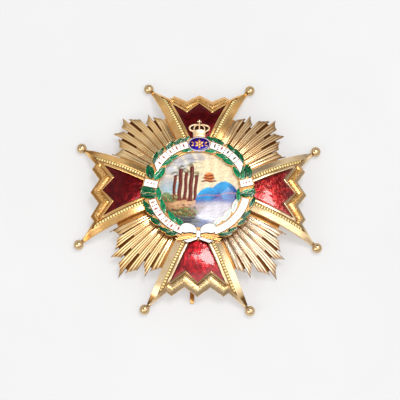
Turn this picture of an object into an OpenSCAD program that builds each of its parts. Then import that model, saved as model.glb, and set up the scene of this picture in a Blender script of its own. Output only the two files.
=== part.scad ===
// Breast star of an order: four domed, enamelled arms with ball tips, four fans of pointed
// rays between them, and an enamelled medallion inside a laurel wreath with a ribbon,
// an oval plaque and a crown. It lies on its eight balls with its back down.
// The origin is on the surface, under the middle of the star. +Y runs along the top arm.

/* [Ball tips] */
// Distance of each ball from the middle, measured along its arm
ball_reach = 40; // [37:0.5:43]
// Distance of each ball from its arm's centre line
ball_spread = 17.5; // [16:0.25:19]
// Diameter of each ball
ball_d = 3.45; // [3:0.05:4]
// Length of the thin neck between an arm's tip and its ball
neck_l = 0.35; // [0.2:0.05:0.6]
// Diameter of the neck
neck_d = 1.2; // [0.9:0.05:1.5]

/* [Dome] */
// Height of the arms' flat middle above the surface
dome_z = 9.95; // [9:0.05:11]
// Radius of the flat middle
dome_flat_r = 21; // [20.5:0.5:23]
// Height of the arms' tips above the middle of the balls
tip_rise = 0.35; // [0.1:0.05:0.6]

/* [Arms] */
// Thickness of an arm
arm_t = 1.6; // [1.3:0.05:1.9]
// Angle between an arm's centre line and its sides
arm_angle = 24.5; // [22:0.25:26]
// Drop of the centre tooth behind the line through the balls
tooth_drop = 3.6; // [2.5:0.1:5]
// Drop of the side teeth behind that line
side_tooth_drop = 3.9; // [3:0.1:4.5]
// Distance of the side teeth from the centre line
side_tooth_spread = 8.6; // [7.5:0.1:9]
// Drop of the corner outside each side tooth
root_drop = 5.1; // [4.7:0.1:5.6]
// Distance of that corner from the centre line
root_spread = 10.3; // [9.8:0.1:11]
// Drop of the notches between the teeth
notch_drop = 6.55; // [6:0.05:7.5]
// Distance of the notches from the centre line
notch_spread = 4.3; // [3.5:0.1:5]
// Width of the lower band along the outer sides
bevel_w = 1.9; // [1.2:0.1:2.4]
// Width of the lower band along the toothed end, measured along the arm
crest_bevel_w = 1.1; // [0.7:0.1:1.5]
// Depth of both lower bands
bevel_drop = 0.4; // [0.2:0.05:0.6]
// Width of the block that stands on the back plate under the arm's inner end
foot_w = 8; // [6:0.5:10]
// Length of that block along the arm
foot_l = 2.6; // [2:0.1:3]

/* [Arm enamel] */
// Width of the gold border along the sides
side_border_w = 4.3; // [3.8:0.1:4.8]
// Depth of the gold border at the teeth, measured along the arm
tooth_border_w = 4.1; // [3.4:0.1:4.8]
// Depth of the gold border at the notches, measured along the arm
notch_border_w = 5; // [4.2:0.1:5.6]
// Distance from the middle to the enamel's hidden inner edge
enamel_in = 16.6; // [15.5:0.1:18]
// Depth of the recess that holds the enamel
recess_depth = 0.8; // [0.6:0.05:1]
// Thickness of the enamel
enamel_t = 0.5; // [0.3:0.05:0.7]

/* [Ray fans] */
// Distance of the longest needle's tip from the middle
ray_reach = 39.2; // [36:0.2:41]
// Radius at which the slits between the rays start
slit_r = 25; // [22:0.5:27]
// Gap between a fan and the arms beside it
fan_gap = 1.2; // [0.8:0.1:1.6]
// Depth of the fans' surface below the arms' surface
fan_drop = 2.1; // [1.9:0.05:2.4]
// Thickness of a fan
fan_t = 1.05; // [0.8:0.05:1.3]
// Depth of the grooves along each ray
groove_depth = 0.35; // [0.2:0.05:0.5]
// Width of each groove, as an angle seen from the middle
groove_angle = 0.7; // [0.4:0.1:0.9]

/* [Back plate] */
// Radius of the plate behind the middle
plate_r = 18; // [17:0.25:19]
// Thickness of the plate
plate_t = 1.3; // [1:0.05:1.6]

/* [Medallion] */
// Radius of the picture disc
disc_r = 13.5; // [13:0.1:13.8]
// Thickness of the picture disc at its edge
disc_t = 1; // [0.8:0.05:1.2]
// Rise of the disc's middle over its edge
disc_dome = 0.7; // [0.4:0.05:0.9]
// Depth of the disc's edge below the top of its bezel
disc_sink = 0.65; // [0.4:0.05:0.8]
// Wall of the bezel round the disc
bezel_wall = 0.9; // [0.7:0.05:1]
// Width of the ledge inside the bezel that carries the disc
ledge_w = 1.2; // [0.8:0.1:1.6]

/* [Wreath] */
// Radius of the middle of the ribbon
ribbon_r = 16.1; // [15.9:0.05:16.3]
// Width of the ribbon. The bow and the cross pieces follow it.
ribbon_w = 2.6; // [2.3:0.05:2.8]
// Length of a common leaf
leaf_l = 4; // [3.8:0.05:4.3]
// Width of a common leaf
leaf_w = 1.4; // [1.2:0.05:1.6]
// Thickness of the gold ground under the wreath
ground_t = 0.4; // [0.3:0.05:0.5]
// Width of the gold edge that the ground shows round leaves and ribbons
ground_edge = 0.2; // [0.1:0.05:0.3]
// Thickness of the stem ring that joins the leaves under the ribbon
stem_t = 0.15; // [0.1:0.05:0.2]
// Width of the stem ring that shows on each side of the ribbon
stem_w = 0.75; // [0.6:0.05:0.9]
// Thickness of the leaves' enamel
leaf_t = 0.3; // [0.25:0.05:0.4]
// Thickness of the ribbon's enamel
ribbon_t = 0.3; // [0.2:0.05:0.4]

/* [Oval plaque] */
// Length of the oval plaque
oval_l = 7.2; // [6.8:0.1:7.6]
// Height of the oval plaque
oval_w = 5; // [4.6:0.1:5.2]
// Distance of the plaque's middle inside the middle of the ribbon
oval_inset = 0.2; // [0:0.05:0.4]
// Width of the plaque's rim
oval_rim_w = 0.3; // [0.2:0.05:0.4]
// Height of the plaque's rim
oval_rim_h = 0.75; // [0.6:0.05:0.9]
// Thickness of the plaque's floor
oval_floor_t = 0.25; // [0.2:0.05:0.35]
// Thickness of the blue enamel
oval_enamel_t = 0.3; // [0.2:0.05:0.35]
// Thickness of the rosette on the enamel
rosette_t = 0.2; // [0.15:0.05:0.3]

/* [Crown] */
// Width of the crown at its arches
crown_w = 7.6; // [7:0.1:8]
// Width of the crown's lower edge
crown_base_w = 4.2; // [3.8:0.1:4.6]
// Height of the crown up to the top of its arches
crown_h = 4.8; // [4.4:0.1:5.2]
// Height of the cross on top
cross_h = 1.2; // [0.9:0.1:1.4]
// Gap between the plaque and the crown
crown_gap = 0.3; // [0.2:0.05:0.5]
// Thickness of the crown
crown_t = 0.9; // [0.7:0.05:1.1]

/* [Brooch pin] */
// Distance of the pin from the star's centre line, to the left
pin_offset = 1.75; // [1:0.05:2.5]
// Distance of the pin's lower end from the middle
pin_reach = 37.4; // [36:0.1:39]
// Distance of the hinge from the middle
hinge_reach = 24; // [20:0.5:26]
// Distance of the catch from the middle
catch_reach = 26; // [22:0.5:28]
// Width of the pin
pin_w = 1.45; // [1.2:0.05:1.7]
// Thickness of the pin
pin_t = 0.8; // [0.6:0.05:1]
// Clearance between the pin and the surface
pin_lift = 0.3; // [0.2:0.05:0.4]
// Width of the hinge and catch posts
post_w = 3.2; // [2.6:0.1:4]
// Length of the posts along the pin
post_l = 2.4; // [2:0.1:3]

/* [Fit] */
// Clearance between pieces that seat on or beside each other
fit = 0.05; // [0.04:0.01:0.08]

/* [Hidden] */
$fn = 64;

// Sideways run of an arm's side for each millimetre along the arm
side_run = tan(arm_angle);
// Slope of the edge that runs from a ball in to the corner by the side tooth
crest_slope = root_drop / (ball_spread - root_spread);
// Distance of a ball from the middle
ball_r = norm([ball_spread, ball_reach]);
// Distance from the middle at which the arm's tip ends, short of the ball
tip_r = ball_r - ball_d / 2 - neck_l;
// Fall of the dome from its flat middle to the tips
dome_fall = dome_z - arm_t / 2 - tip_rise - ball_d / 2;
// Radius of the arc that the dome follows from the flat middle to the tips
curve_r = (pow(tip_r - dome_flat_r, 2) + pow(dome_fall, 2)) / (2 * dome_fall);
// Radius that is safely outside the whole star
outside_r = ball_r + ball_d;
// Height that is safely above the whole star
above_z = dome_z + 10;

// Heights of the stacked pieces, from the bottom
fan_bottom_z = dome_z - fan_drop - fan_t;
plate_top_z = fan_bottom_z - fit;
plate_bottom_z = plate_top_z - plate_t;
ground_z = dome_z + fit;
stem_z = ground_z + ground_t + fit;
ribbon_z = stem_z + stem_t + fit;
disc_edge_z = dome_z - disc_sink;

// Radii round the medallion
bezel_in_r = disc_r + fit;
bezel_out_r = bezel_in_r + bezel_wall;
arm_in_r = bezel_out_r + fit;
ribbon_in_r = ribbon_r - ribbon_w / 2;
ribbon_out_r = ribbon_r + ribbon_w / 2;
stem_in_r = ribbon_in_r - stem_w;
stem_out_r = ribbon_out_r + stem_w;
// Where the oval plaque and the crown stand on the top arm's side
oval_y = ribbon_r - oval_inset;
crown_y = oval_y + oval_w / 2 + crown_gap;
// Angle round the star from the plaque's middle to where the stem ring runs into the plaque
plaque_angle = asin(oval_l * 0.45 / ribbon_r);

// Rays of one fan, from the side arm to the top or bottom arm. The columns are the angle and
// reach of one edge, the angle and reach of the other edge, and the depth of the hollow end.
// Angles are shares of the half angle between two arms, reaches are shares of ray_reach,
// and the hollow is a share of the end's width.
RAYS = [
    [-1.05, 0.835, -0.695, 0.78, 0.14],
    [-0.665, 0.81, -0.44, 0.87, 0.14],
    [-0.37, 0.935, -0.16, 0.875, 0.14],
    [-0.1, 0.925, 0.13, 1, 0.24],
    [0.2, 0.94, 0.415, 0.865, 0.14],
    [0.47, 0.8, 0.69, 0.875, 0.2],
    [0.75, 0.815, 1.05, 0.745, 0.1]];

// Leaves outside the ribbon, inside it, and in the clusters beside the cross pieces. The
// columns are the angle round the star, the ribbon's edge (1 outer, -1 inner) and the distance
// beyond it as a share of leaf_w, the length as a share of leaf_l, the width as a share of
// leaf_w, and the lean away from the ring.
LEAVES_TOP_LEFT = [
    [105, 1, 0.65, 0.85, 0.79, 16],
    [113, 1, 0.65, 0.82, 0.79, 15],
    [123, 1, 0.65, 0.9, 0.93, 17],
    [135, 1, 0.65, 0.85, 0.75, 10],
    [144, 1, 0.55, 1.07, 1.07, 24],
    [109, -1, 0.2, 1.15, 0.79, -19],
    [128, -1, 0.45, 0.9, 0.86, -18],
    [138, -1, 0.55, 1.05, 0.93, -13],
    [161, 1, 0, 1.15, 1.86, 34],
    [159, -1, 0.45, 1.25, 1.7, -17]];
LEAVES_BOTTOM_LEFT = [
    [189, -1, 0.9, 1.1, 1.07, -2],
    [183, 1, -0.45, 1.3, 1.36, 75],
    [190, 1, -0.35, 1.2, 1.3, 79],
    [185, 1, 0.8, 0.85, 1.07, -15],
    [200, 1, 0.8, 0.85, 0.93, 15],
    [208, 1, 0.65, 0.95, 1, 24],
    [220, 1, 0.9, 1.05, 1.07, 13],
    [234, 1, 0.9, 1.12, 0.86, 16],
    [242, 1, 0.65, 1.05, 1, 33],
    [209, -1, 0.9, 1.15, 1, -14],
    [229, -1, 0.9, 1.05, 1.07, -19],
    [243, -1, 0.8, 1, 1, -20]];
LEAVES_TOP_RIGHT = [
    [77.5, 1, 0.7, 0.78, 0.71, -18],
    [69, 1, 0.65, 1.12, 1, -7],
    [54, 1, 0.55, 0.85, 0.93, -14],
    [46, 1, 0.55, 1, 1.07, -4],
    [37, 1, 0.35, 0.97, 0.93, -27],
    [73, -1, 0.45, 1, 0.79, 17],
    [57, -1, 0.55, 1.05, 0.93, 13],
    [44, -1, 0.55, 1.07, 1.2, 21],
    [24, -1, 0.55, 1.15, 1.07, 6],
    [22, 1, -1.05, 1.25, 0.93, -22],
    [22, 1, -0.25, 1.15, 1.29, -30],
    [20, 1, 0.45, 1.05, 1.14, -15]];
LEAVES_BOTTOM_RIGHT = [
    [350, -1, 0.9, 1.1, 0.93, 12],
    [356, 1, -0.8, 1.25, 1.29, -68],
    [353, 1, -0.8, 1.15, 1.07, -78],
    [356, 1, 0.45, 0.85, 1.07, -11],
    [345, 1, 0.8, 0.88, 0.93, -10],
    [330, 1, 0.65, 0.95, 1, -18],
    [321, 1, 0.9, 0.9, 0.93, -13],
    [308, 1, 0.75, 0.8, 0.79, -13],
    [299, 1, 0.8, 1.05, 0.86, -19],
    [333, -1, 0.9, 1.15, 1, 12],
    [316, -1, 1, 1.2, 1.07, 14],
    [300, -1, 1, 1.1, 1, 12]];

// Stretches of the ribbon round the star. The columns are the two end angles of the band
// and the angle of its pointed tip, or the second end angle again where it has no tip.
BAND_TOP_LEFT = [103, 150, 159];
BAND_TOP_RIGHT = [77, 31, 21];
BAND_BOTTOM_LEFT = [252, 195, 195];
BAND_BOTTOM_RIGHT = [288, 348, 348];

// Places of the two grooves along each ray, as shares of its width
GROOVES = [0.3, 0.7];

// The short cross pieces of ribbon. The columns are the angle round the star, the length and
// the width as shares of ribbon_w, and the tilt.
CROSS_LEFT = [175, 1.88, 1.04, -6];
CROSS_RIGHT = [8, 1.77, 1.04, 6];

// The bow's sizes as shares of ribbon_w: the knot's width and height, the place, length, width
// and tilt of a loop, and the right half of the tails' outline
KNOT = [0.58, 0.92];
LOOP_AT = [0.92, 0.58];
LOOP_SIZE = [2.15, 1];
LOOP_TILT = 26;
TAILS = [[0, 0.23], [1.92, -0.5], [1.31, -0.96], [0, -0.54]];

// The rosette's sizes as shares of oval_w: the radius of its middle, and the distance, length
// and width of a petal
ROSETTE_HUB = 0.1;
PETAL = [0.15, 0.24, 0.12];
PETALS = 6;

// The crown's openings. The columns are the distance from the centre line as a share of
// crown_w, and the height and the radius as shares of crown_h.
OPENINGS = [[0.13, 0.79, 0.1], [0.32, 0.68, 0.09]];
// Height of the crown's brow, where the arches start, as a share of crown_h, half its width as
// a share of crown_base_w, and the radius of the arches as a share of crown_w
BROW_H = 0.48;
BROW_W = 0.72;
ARCH_R = 0.55;
// Width of the cross's post and bar as shares of cross_h
CROSS_BAR = 0.32;

// A point at a distance and an angle from the middle
function polar(r, a) = [r * cos(a), r * sin(a)];

// A point of an arm's crest, from its distance to the centre line and its drop behind
// the line through the balls
function crest(x, drop) = [x, ball_reach - drop];

// Where an arm's side, moved in by side_in, meets the crest's outer edge, lowered by
// crest_in, and where the same side crosses a given distance along the arm
function corner(side_in, crest_in) =
    let (shift = side_in / cos(arm_angle))
    let (back = (crest_in * side_run + shift) / (1 - crest_slope * side_run))
    [ball_spread - back, ball_reach - crest_slope * back - crest_in];
function side_x(y, side_in) = ball_spread - (ball_reach - y) * side_run - side_in / cos(arm_angle);

// Right half of an arm's outline, from the crest's middle out to the tip and in again
function half_arm(side_in, crest_in) = [
    crest(0, tooth_drop + crest_in),
    crest(notch_spread, notch_drop + crest_in),
    crest(side_tooth_spread, side_tooth_drop + crest_in),
    crest(root_spread, root_drop + crest_in),
    corner(side_in, crest_in),
    [side_x(disc_r / 2, side_in), disc_r / 2]];

// Right half of the enamel's outline. Its upper corner is sharp, so its point grows further
// than its sides.
function half_cell(grow) = [
    crest(0, tooth_drop + tooth_border_w - grow),
    crest(notch_spread, notch_drop + notch_border_w - grow),
    let (y = ball_reach - side_tooth_drop - tooth_border_w + grow * 3)
        [side_x(y, side_border_w - grow), y],
    [side_x(enamel_in, side_border_w - grow), enamel_in - grow]];

// A half outline joined to its mirror image, counter-clockwise
function both(half) = concat(
    [for (i = [len(half) - 1:-1:0]) half[i]],
    [for (point = half) if (point[0] != 0) [-point[0], point[1]]]);

// Profile of everything under the dome, lowered by drop
module under_dome_profile(drop) {
    translate([0, -above_z]) square([dome_flat_r, above_z + dome_z - drop]);
    intersection() {
        translate([dome_flat_r, dome_z - drop - curve_r]) circle(curve_r, $fn = 360);
        translate([dome_flat_r, -above_z]) square([outside_r - dome_flat_r, above_z * 2]);
    }
}

// Everything under the dome, lowered by drop
module under_dome(drop) {
    rotate_extrude($fn = 240) under_dome_profile(drop);
}

// Everything above the dome, lowered by drop
module above_dome(drop) {
    rotate_extrude($fn = 240) difference() {
        translate([0, -above_z]) square([outside_r, above_z * 2]);
        under_dome_profile(drop);
    }
}

// A curved plate that follows the dome, between two depths, cut to a plan
module dome_plate(top_drop, bottom_drop) {
    intersection() {
        rotate_extrude($fn = 240) difference() {
            under_dome_profile(top_drop);
            under_dome_profile(bottom_drop);
        }
        linear_extrude(above_z) children();
    }
}

// Plan of a pie slice between two angles
module slice(r, from, to) {
    steps = max(1, ceil(abs(to - from) / 30));
    polygon(concat([[0, 0]], [for (i = [0:steps]) polar(r, from + (to - from) * i / steps)]));
}

// One arm, pointing along +Y: a plate with lower bands along its edges, a recess for the
// enamel, a foot on the back plate, and two balls on necks
module arm() {
    tip_turn = (arm_angle + 90 - atan(crest_slope)) / 2;
    difference() {
        union() {
            difference() {
                dome_plate(0, arm_t) polygon(both(half_arm(0, 0)));
                intersection() {
                    above_dome(bevel_drop);
                    linear_extrude(above_z) difference() {
                        translate([-ball_reach, 0]) square([ball_reach * 2, ball_reach * 2]);
                        polygon(both(half_arm(bevel_w, crest_bevel_w)));
                    }
                }
                intersection() {
                    above_dome(recess_depth);
                    linear_extrude(above_z) polygon(both(half_cell(0)));
                }
                for (side = [-1, 1])
                    translate([side * ball_spread, ball_reach, 0])
                        cylinder(h = above_z, r = ball_d / 2 + neck_l);
            }
            translate([-foot_w / 2, arm_in_r + fit, fan_bottom_z])
                cube([foot_w, foot_l, dome_z - arm_t / 2 - recess_depth / 2 - fan_bottom_z]);
            for (side = [-1, 1])
                translate([side * ball_spread, ball_reach, ball_d / 2]) {
                    sphere(d = ball_d);
                    rotate([0, 0, side * -tip_turn])
                        rotate([90 - atan(tip_rise / (ball_d / 2 + neck_l)), 0, 0])
                            cylinder(h = ball_d / 2 + neck_l + neck_d, d = neck_d);
                }
        }
        cylinder(h = above_z, r = arm_in_r);
    }
}

// Enamel of one arm
module arm_enamel() {
    dome_plate(recess_depth - fit - enamel_t, recess_depth - fit) polygon(both(half_cell(-fit)));
}

// Plan of one ray. Its end is a hollow curve between the two edges' tips.
module ray_plan(ray) {
    turn = 45 - arm_angle;
    a = polar(ray_reach * ray[1], 45 + ray[0] * turn);
    b = polar(ray_reach * ray[3], 45 + ray[2] * turn);
    span = norm(b - a);
    inward = [a[1] - b[1], b[0] - a[0]] / span;
    root_r = slit_r - fan_gap;
    steps = 6;
    polygon(concat(
        [polar(root_r, 45 + ray[0] * turn)],
        [for (i = [0:steps]) a + (b - a) * i / steps
            + inward * span * ray[4] * 4 * i / steps * (1 - i / steps)],
        [polar(root_r, 45 + ray[2] * turn)]));
}

// Plan of the ground that an arm keeps clear of the fans
module arm_clearance() {
    polygon([
        [side_x(0, -fan_gap), 0],
        [side_x(outside_r, -fan_gap), outside_r],
        [-side_x(outside_r, -fan_gap), outside_r],
        [-side_x(0, -fan_gap), 0]]);
}

// Plan of the fan between the top arm and the right arm
module fan_plan() {
    difference() {
        union() {
            intersection() {
                slice(outside_r, arm_angle / 2, 90 - arm_angle / 2);
                circle(slit_r);
            }
            for (ray = RAYS) ray_plan(ray);
        }
        arm_clearance();
        rotate(-90) arm_clearance();
        circle(arm_in_r);
    }
}

// Plan of the grooves along the rays: two on each ray
module groove_plan() {
    turn = 45 - arm_angle;
    for (ray = RAYS)
        for (share = GROOVES) {
            middle = 45 + (ray[0] + (ray[2] - ray[0]) * share) * turn;
            slice(outside_r, middle - groove_angle / 2, middle + groove_angle / 2);
        }
}

// One fan of rays
module ray_fan() {
    difference() {
        dome_plate(fan_drop, fan_drop + fan_t) fan_plan();
        intersection() {
            above_dome(fan_drop + groove_depth);
            linear_extrude(above_z) difference() {
                groove_plan();
                circle(plate_r);
            }
        }
    }
}

// Plan of a leaf of a given length and width, pointed at both ends
module leaf_plan(l, w) {
    r = (l * l + w * w) / (4 * w);
    intersection() {
        translate([0, r - w / 2]) circle(r, $fn = 96);
        translate([0, w / 2 - r]) circle(r, $fn = 96);
    }
}

// Plan of a table of leaves, each grown by an edge. The points grow further than the sides.
module leaves_plan(leaves, edge) {
    for (leaf = leaves)
        rotate(leaf[0])
            translate([ribbon_r + leaf[1] * (ribbon_w / 2 + leaf_w * leaf[2]), 0])
                rotate(90 + leaf[5])
                    leaf_plan(leaf_l * leaf[3] + edge * 3, leaf_w * leaf[4] + edge * 2);
}

// Plan of a ring
module ring_plan(inner, outer) {
    difference() {
        circle(outer, $fn = 180);
        circle(inner, $fn = 180);
    }
}

// Plan of one stretch of the ribbon, grown by an edge, with its pointed tip
module band_plan(band, edge) {
    steps = 3;
    far_r = ribbon_out_r * 1.5;
    intersection() {
        ring_plan(ribbon_in_r - edge, ribbon_out_r + edge);
        polygon(concat(
            [[0, 0]],
            [for (i = [0:steps]) polar(far_r, band[0] + (band[1] - band[0]) * i / steps)],
            [polar(ribbon_out_r + edge * 2, band[1]), polar(ribbon_in_r, band[2])]));
    }
}

// Plan of one cross piece of the ribbon, grown by an edge
module cross_plan(cross, edge) {
    rotate(cross[0])
        translate([ribbon_r, 0])
            rotate(cross[3])
                square([ribbon_w * cross[1] + edge * 2, ribbon_w * cross[2] + edge * 2], center = true);
}

// Plan of the bow at the foot of the ribbon, grown by an edge. Its knot's lower edge is on the
// ribbon's outer edge.
module bow_plan(edge) {
    knot = KNOT * ribbon_w;
    loop = LOOP_SIZE * ribbon_w;
    tails = [for (i = [0:len(TAILS) - 1]) TAILS[i] * ribbon_w
        + edge * (i == 0 ? [0, 1] : i == 1 ? [1, 1] : [0, -1])];
    translate([0, knot[1] / 2 - ribbon_out_r]) {
        square([knot[0] + edge * 2, knot[1] + edge * 2], center = true);
        for (side = [-1, 1])
            translate([side * LOOP_AT[0], LOOP_AT[1]] * ribbon_w)
                rotate(side * LOOP_TILT)
                    leaf_plan(loop[0] + edge * 3, loop[1] + edge * 2);
        polygon(both(tails));
    }
}

// Plan of the oval plaque, grown by an edge
module oval_plan(edge) {
    r = oval_l * 0.75;
    translate([0, oval_y]) intersection() {
        circle(oval_l / 2 + edge, $fn = 180);
        translate([0, r - oval_w / 2]) circle(r + edge, $fn = 180);
        translate([0, oval_w / 2 - r]) circle(r + edge, $fn = 180);
    }
}

// Plan of everything in the wreath that lies over the leaves
module ribbons_plan(edge) {
    band_plan(BAND_TOP_LEFT, edge);
    band_plan(BAND_TOP_RIGHT, edge);
    band_plan(BAND_BOTTOM_LEFT, edge);
    band_plan(BAND_BOTTOM_RIGHT, edge);
    cross_plan(CROSS_LEFT, edge);
    cross_plan(CROSS_RIGHT, edge);
    bow_plan(edge);
}

// A flat layer of a plan, from one height and with one thickness
module layer(z, t) {
    translate([0, 0, z]) linear_extrude(t) children();
}

// One branch of laurel: its leaves stand on a thin stem ring under the ribbon
module laurel(leaves, from, to) {
    difference() {
        layer(stem_z, leaf_t) leaves_plan(leaves, 0);
        layer(stem_z + stem_t, above_z) ribbons_plan(fit);
        layer(0, above_z) oval_plan(fit);
    }
    layer(stem_z, stem_t) difference() {
        intersection() {
            ring_plan(stem_in_r, stem_out_r);
            slice(ribbon_out_r * 2, from, to);
        }
        oval_plan(fit);
    }
}

// One stretch of ribbon
module ribbon() {
    layer(ribbon_z, ribbon_t) children();
}

module back_plate() {
    color("goldenrod") translate([0, 0, plate_bottom_z])
        cylinder(h = plate_t, r = plate_r, $fn = 180);
}

module arm_at(turn) {
    color("gold") rotate(turn) arm();
}

module arm_enamel_at(turn) {
    color("darkred") rotate(turn) arm_enamel();
}

// The fan's table runs towards the top or bottom arm, so two fans are mirror images
module ray_fan_at(flip_x, flip_y) {
    color("goldenrod") mirror([flip_x, 0, 0]) mirror([0, flip_y, 0]) ray_fan();
}

module medallion_bezel() {
    color("gold") translate([0, 0, fan_bottom_z]) rotate_extrude($fn = 180) union() {
        translate([bezel_in_r, 0])
            square([bezel_wall, dome_z - fan_bottom_z]);
        translate([bezel_in_r - ledge_w, 0])
            square([ledge_w + bezel_wall / 2, disc_edge_z - disc_t - fit - fan_bottom_z]);
    }
}

module medallion_disc() {
    cap_r = (disc_r * disc_r + disc_dome * disc_dome) / (2 * disc_dome);
    color("lightblue") intersection() {
        translate([0, 0, disc_edge_z - disc_t])
            cylinder(h = disc_t + disc_dome * 2, r = disc_r, $fn = 180);
        translate([0, 0, disc_edge_z + disc_dome - cap_r]) sphere(cap_r, $fn = 360);
    }
}

module wreath_ground() {
    color("gold") layer(ground_z, ground_t) union() {
        ring_plan(stem_in_r - ground_edge, stem_out_r + ground_edge);
        for (leaves = [LEAVES_TOP_LEFT, LEAVES_TOP_RIGHT, LEAVES_BOTTOM_LEFT, LEAVES_BOTTOM_RIGHT])
            leaves_plan(leaves, ground_edge);
        ribbons_plan(ground_edge);
        oval_plan(0);
        translate([-crown_base_w / 2 + ground_edge, oval_y])
            square([crown_base_w - ground_edge * 2, crown_y - oval_y + crown_h / 4]);
    }
}

module laurel_top_left() {
    color("darkgreen") laurel(LEAVES_TOP_LEFT, 90 + plaque_angle, 169);
}

module laurel_top_right() {
    color("darkgreen") laurel(LEAVES_TOP_RIGHT, 13, 90 - plaque_angle);
}

module laurel_bottom_left() {
    color("darkgreen") laurel(LEAVES_BOTTOM_LEFT, 181, 269.5);
}

module laurel_bottom_right() {
    color("darkgreen") laurel(LEAVES_BOTTOM_RIGHT, 270.5, 361);
}

module ribbon_top_left() {
    color("ivory") ribbon() difference() {
        band_plan(BAND_TOP_LEFT, 0);
        oval_plan(fit);
    }
}

module ribbon_top_right() {
    color("ivory") ribbon() difference() {
        band_plan(BAND_TOP_RIGHT, 0);
        oval_plan(fit);
    }
}

module ribbon_left() {
    color("ivory") ribbon() cross_plan(CROSS_LEFT, 0);
}

module ribbon_right() {
    color("ivory") ribbon() cross_plan(CROSS_RIGHT, 0);
}

module ribbon_bottom_left() {
    color("ivory") ribbon() difference() {
        band_plan(BAND_BOTTOM_LEFT, 0);
        bow_plan(fit);
    }
}

module ribbon_bottom_right() {
    color("ivory") ribbon() difference() {
        band_plan(BAND_BOTTOM_RIGHT, 0);
        bow_plan(fit);
    }
}

module ribbon_bow() {
    color("ivory") ribbon() bow_plan(0);
}

module oval_rim() {
    color("gold") difference() {
        layer(stem_z, oval_rim_h) oval_plan(0);
        layer(stem_z + oval_floor_t, above_z) oval_plan(-oval_rim_w);
    }
}

module oval_enamel() {
    color("navy") layer(stem_z + oval_floor_t + fit, oval_enamel_t)
        oval_plan(-oval_rim_w - fit);
}

module oval_rosette() {
    color("gold") layer(stem_z + oval_floor_t + fit + oval_enamel_t + fit, rosette_t)
        translate([0, oval_y]) {
            circle(oval_w * ROSETTE_HUB);
            for (i = [0:PETALS - 1])
                rotate(i * 360 / PETALS)
                    translate([oval_w * PETAL[0], 0])
                        leaf_plan(oval_w * PETAL[1], oval_w * PETAL[2]);
        }
}

// Plan of the crown: a band that widens to the brow, arches with openings, and a cross
module crown_plan() {
    arch_r = crown_w * ARCH_R;
    brow_y = crown_h * BROW_H;
    lap = cross_h / 10;
    difference() {
        union() {
            polygon([
                [-crown_base_w / 2, 0],
                [crown_base_w / 2, 0],
                [crown_base_w * BROW_W, brow_y + lap],
                [-crown_base_w * BROW_W, brow_y + lap]]);
            intersection() {
                translate([0, crown_h - arch_r]) circle(arch_r);
                translate([-crown_w / 2, brow_y]) square([crown_w, crown_h]);
            }
        }
        for (opening = OPENINGS)
            for (side = [-1, 1])
                translate([side * crown_w * opening[0], crown_h * opening[1]])
                    circle(crown_h * opening[2]);
    }
    translate([0, crown_h + cross_h / 2 - lap]) {
        square([cross_h * CROSS_BAR, cross_h + lap * 2], center = true);
        square([cross_h, cross_h * CROSS_BAR], center = true);
    }
}

module crown() {
    color("gold") layer(stem_z, crown_t) translate([0, crown_y]) crown_plan();
}

// The pin with its hinge block and its catch, as one plain piece
module brooch_pin() {
    color("goldenrod") intersection() {
        union() {
            translate([-pin_w / 2 - pin_offset, -pin_reach + pin_w / 2, pin_lift])
                cube([pin_w, pin_reach - pin_w / 2 + hinge_reach, pin_t]);
            translate([-pin_offset, -pin_reach + pin_w / 2, pin_lift])
                cylinder(h = pin_t, d = pin_w);
            for (y = [hinge_reach, -catch_reach])
                translate([-pin_offset - post_w / 2, y - post_l / 2, pin_lift])
                    cube([post_w, post_l, dome_z]);
        }
        under_dome(arm_t + fit);
    }
}

back_plate();
arm_at(0);  // arm_top
arm_at(-90);  // arm_right
arm_at(180);  // arm_bottom
arm_at(90);  // arm_left
arm_enamel_at(0);  // arm_enamel_top
arm_enamel_at(-90);  // arm_enamel_right
arm_enamel_at(180);  // arm_enamel_bottom
arm_enamel_at(90);  // arm_enamel_left
ray_fan_at(0, 0);  // ray_fan_top_right
ray_fan_at(1, 0);  // ray_fan_top_left
ray_fan_at(1, 1);  // ray_fan_bottom_left
ray_fan_at(0, 1);  // ray_fan_bottom_right
medallion_bezel();
medallion_disc();
wreath_ground();
laurel_top_left();
laurel_top_right();
laurel_bottom_left();
laurel_bottom_right();
ribbon_top_left();
ribbon_top_right();
ribbon_left();
ribbon_right();
ribbon_bottom_left();
ribbon_bottom_right();
ribbon_bow();
oval_rim();
oval_enamel();
oval_rosette();
crown();
brooch_pin();
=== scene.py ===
import math
import random

import bmesh
import bpy
import numpy as np
from mathutils import Matrix, Vector


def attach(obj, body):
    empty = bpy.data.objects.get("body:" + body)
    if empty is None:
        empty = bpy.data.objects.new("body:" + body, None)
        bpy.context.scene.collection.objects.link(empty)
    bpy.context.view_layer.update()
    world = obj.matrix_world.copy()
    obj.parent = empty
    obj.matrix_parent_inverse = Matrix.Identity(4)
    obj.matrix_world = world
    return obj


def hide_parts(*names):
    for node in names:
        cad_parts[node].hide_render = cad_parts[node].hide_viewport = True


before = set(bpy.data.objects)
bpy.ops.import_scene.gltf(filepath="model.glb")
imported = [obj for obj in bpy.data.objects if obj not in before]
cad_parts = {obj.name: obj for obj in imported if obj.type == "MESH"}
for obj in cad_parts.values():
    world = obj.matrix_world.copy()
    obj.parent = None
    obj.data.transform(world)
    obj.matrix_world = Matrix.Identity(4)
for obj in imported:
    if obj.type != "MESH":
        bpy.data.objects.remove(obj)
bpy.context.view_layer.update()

MM = 0.001

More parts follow.
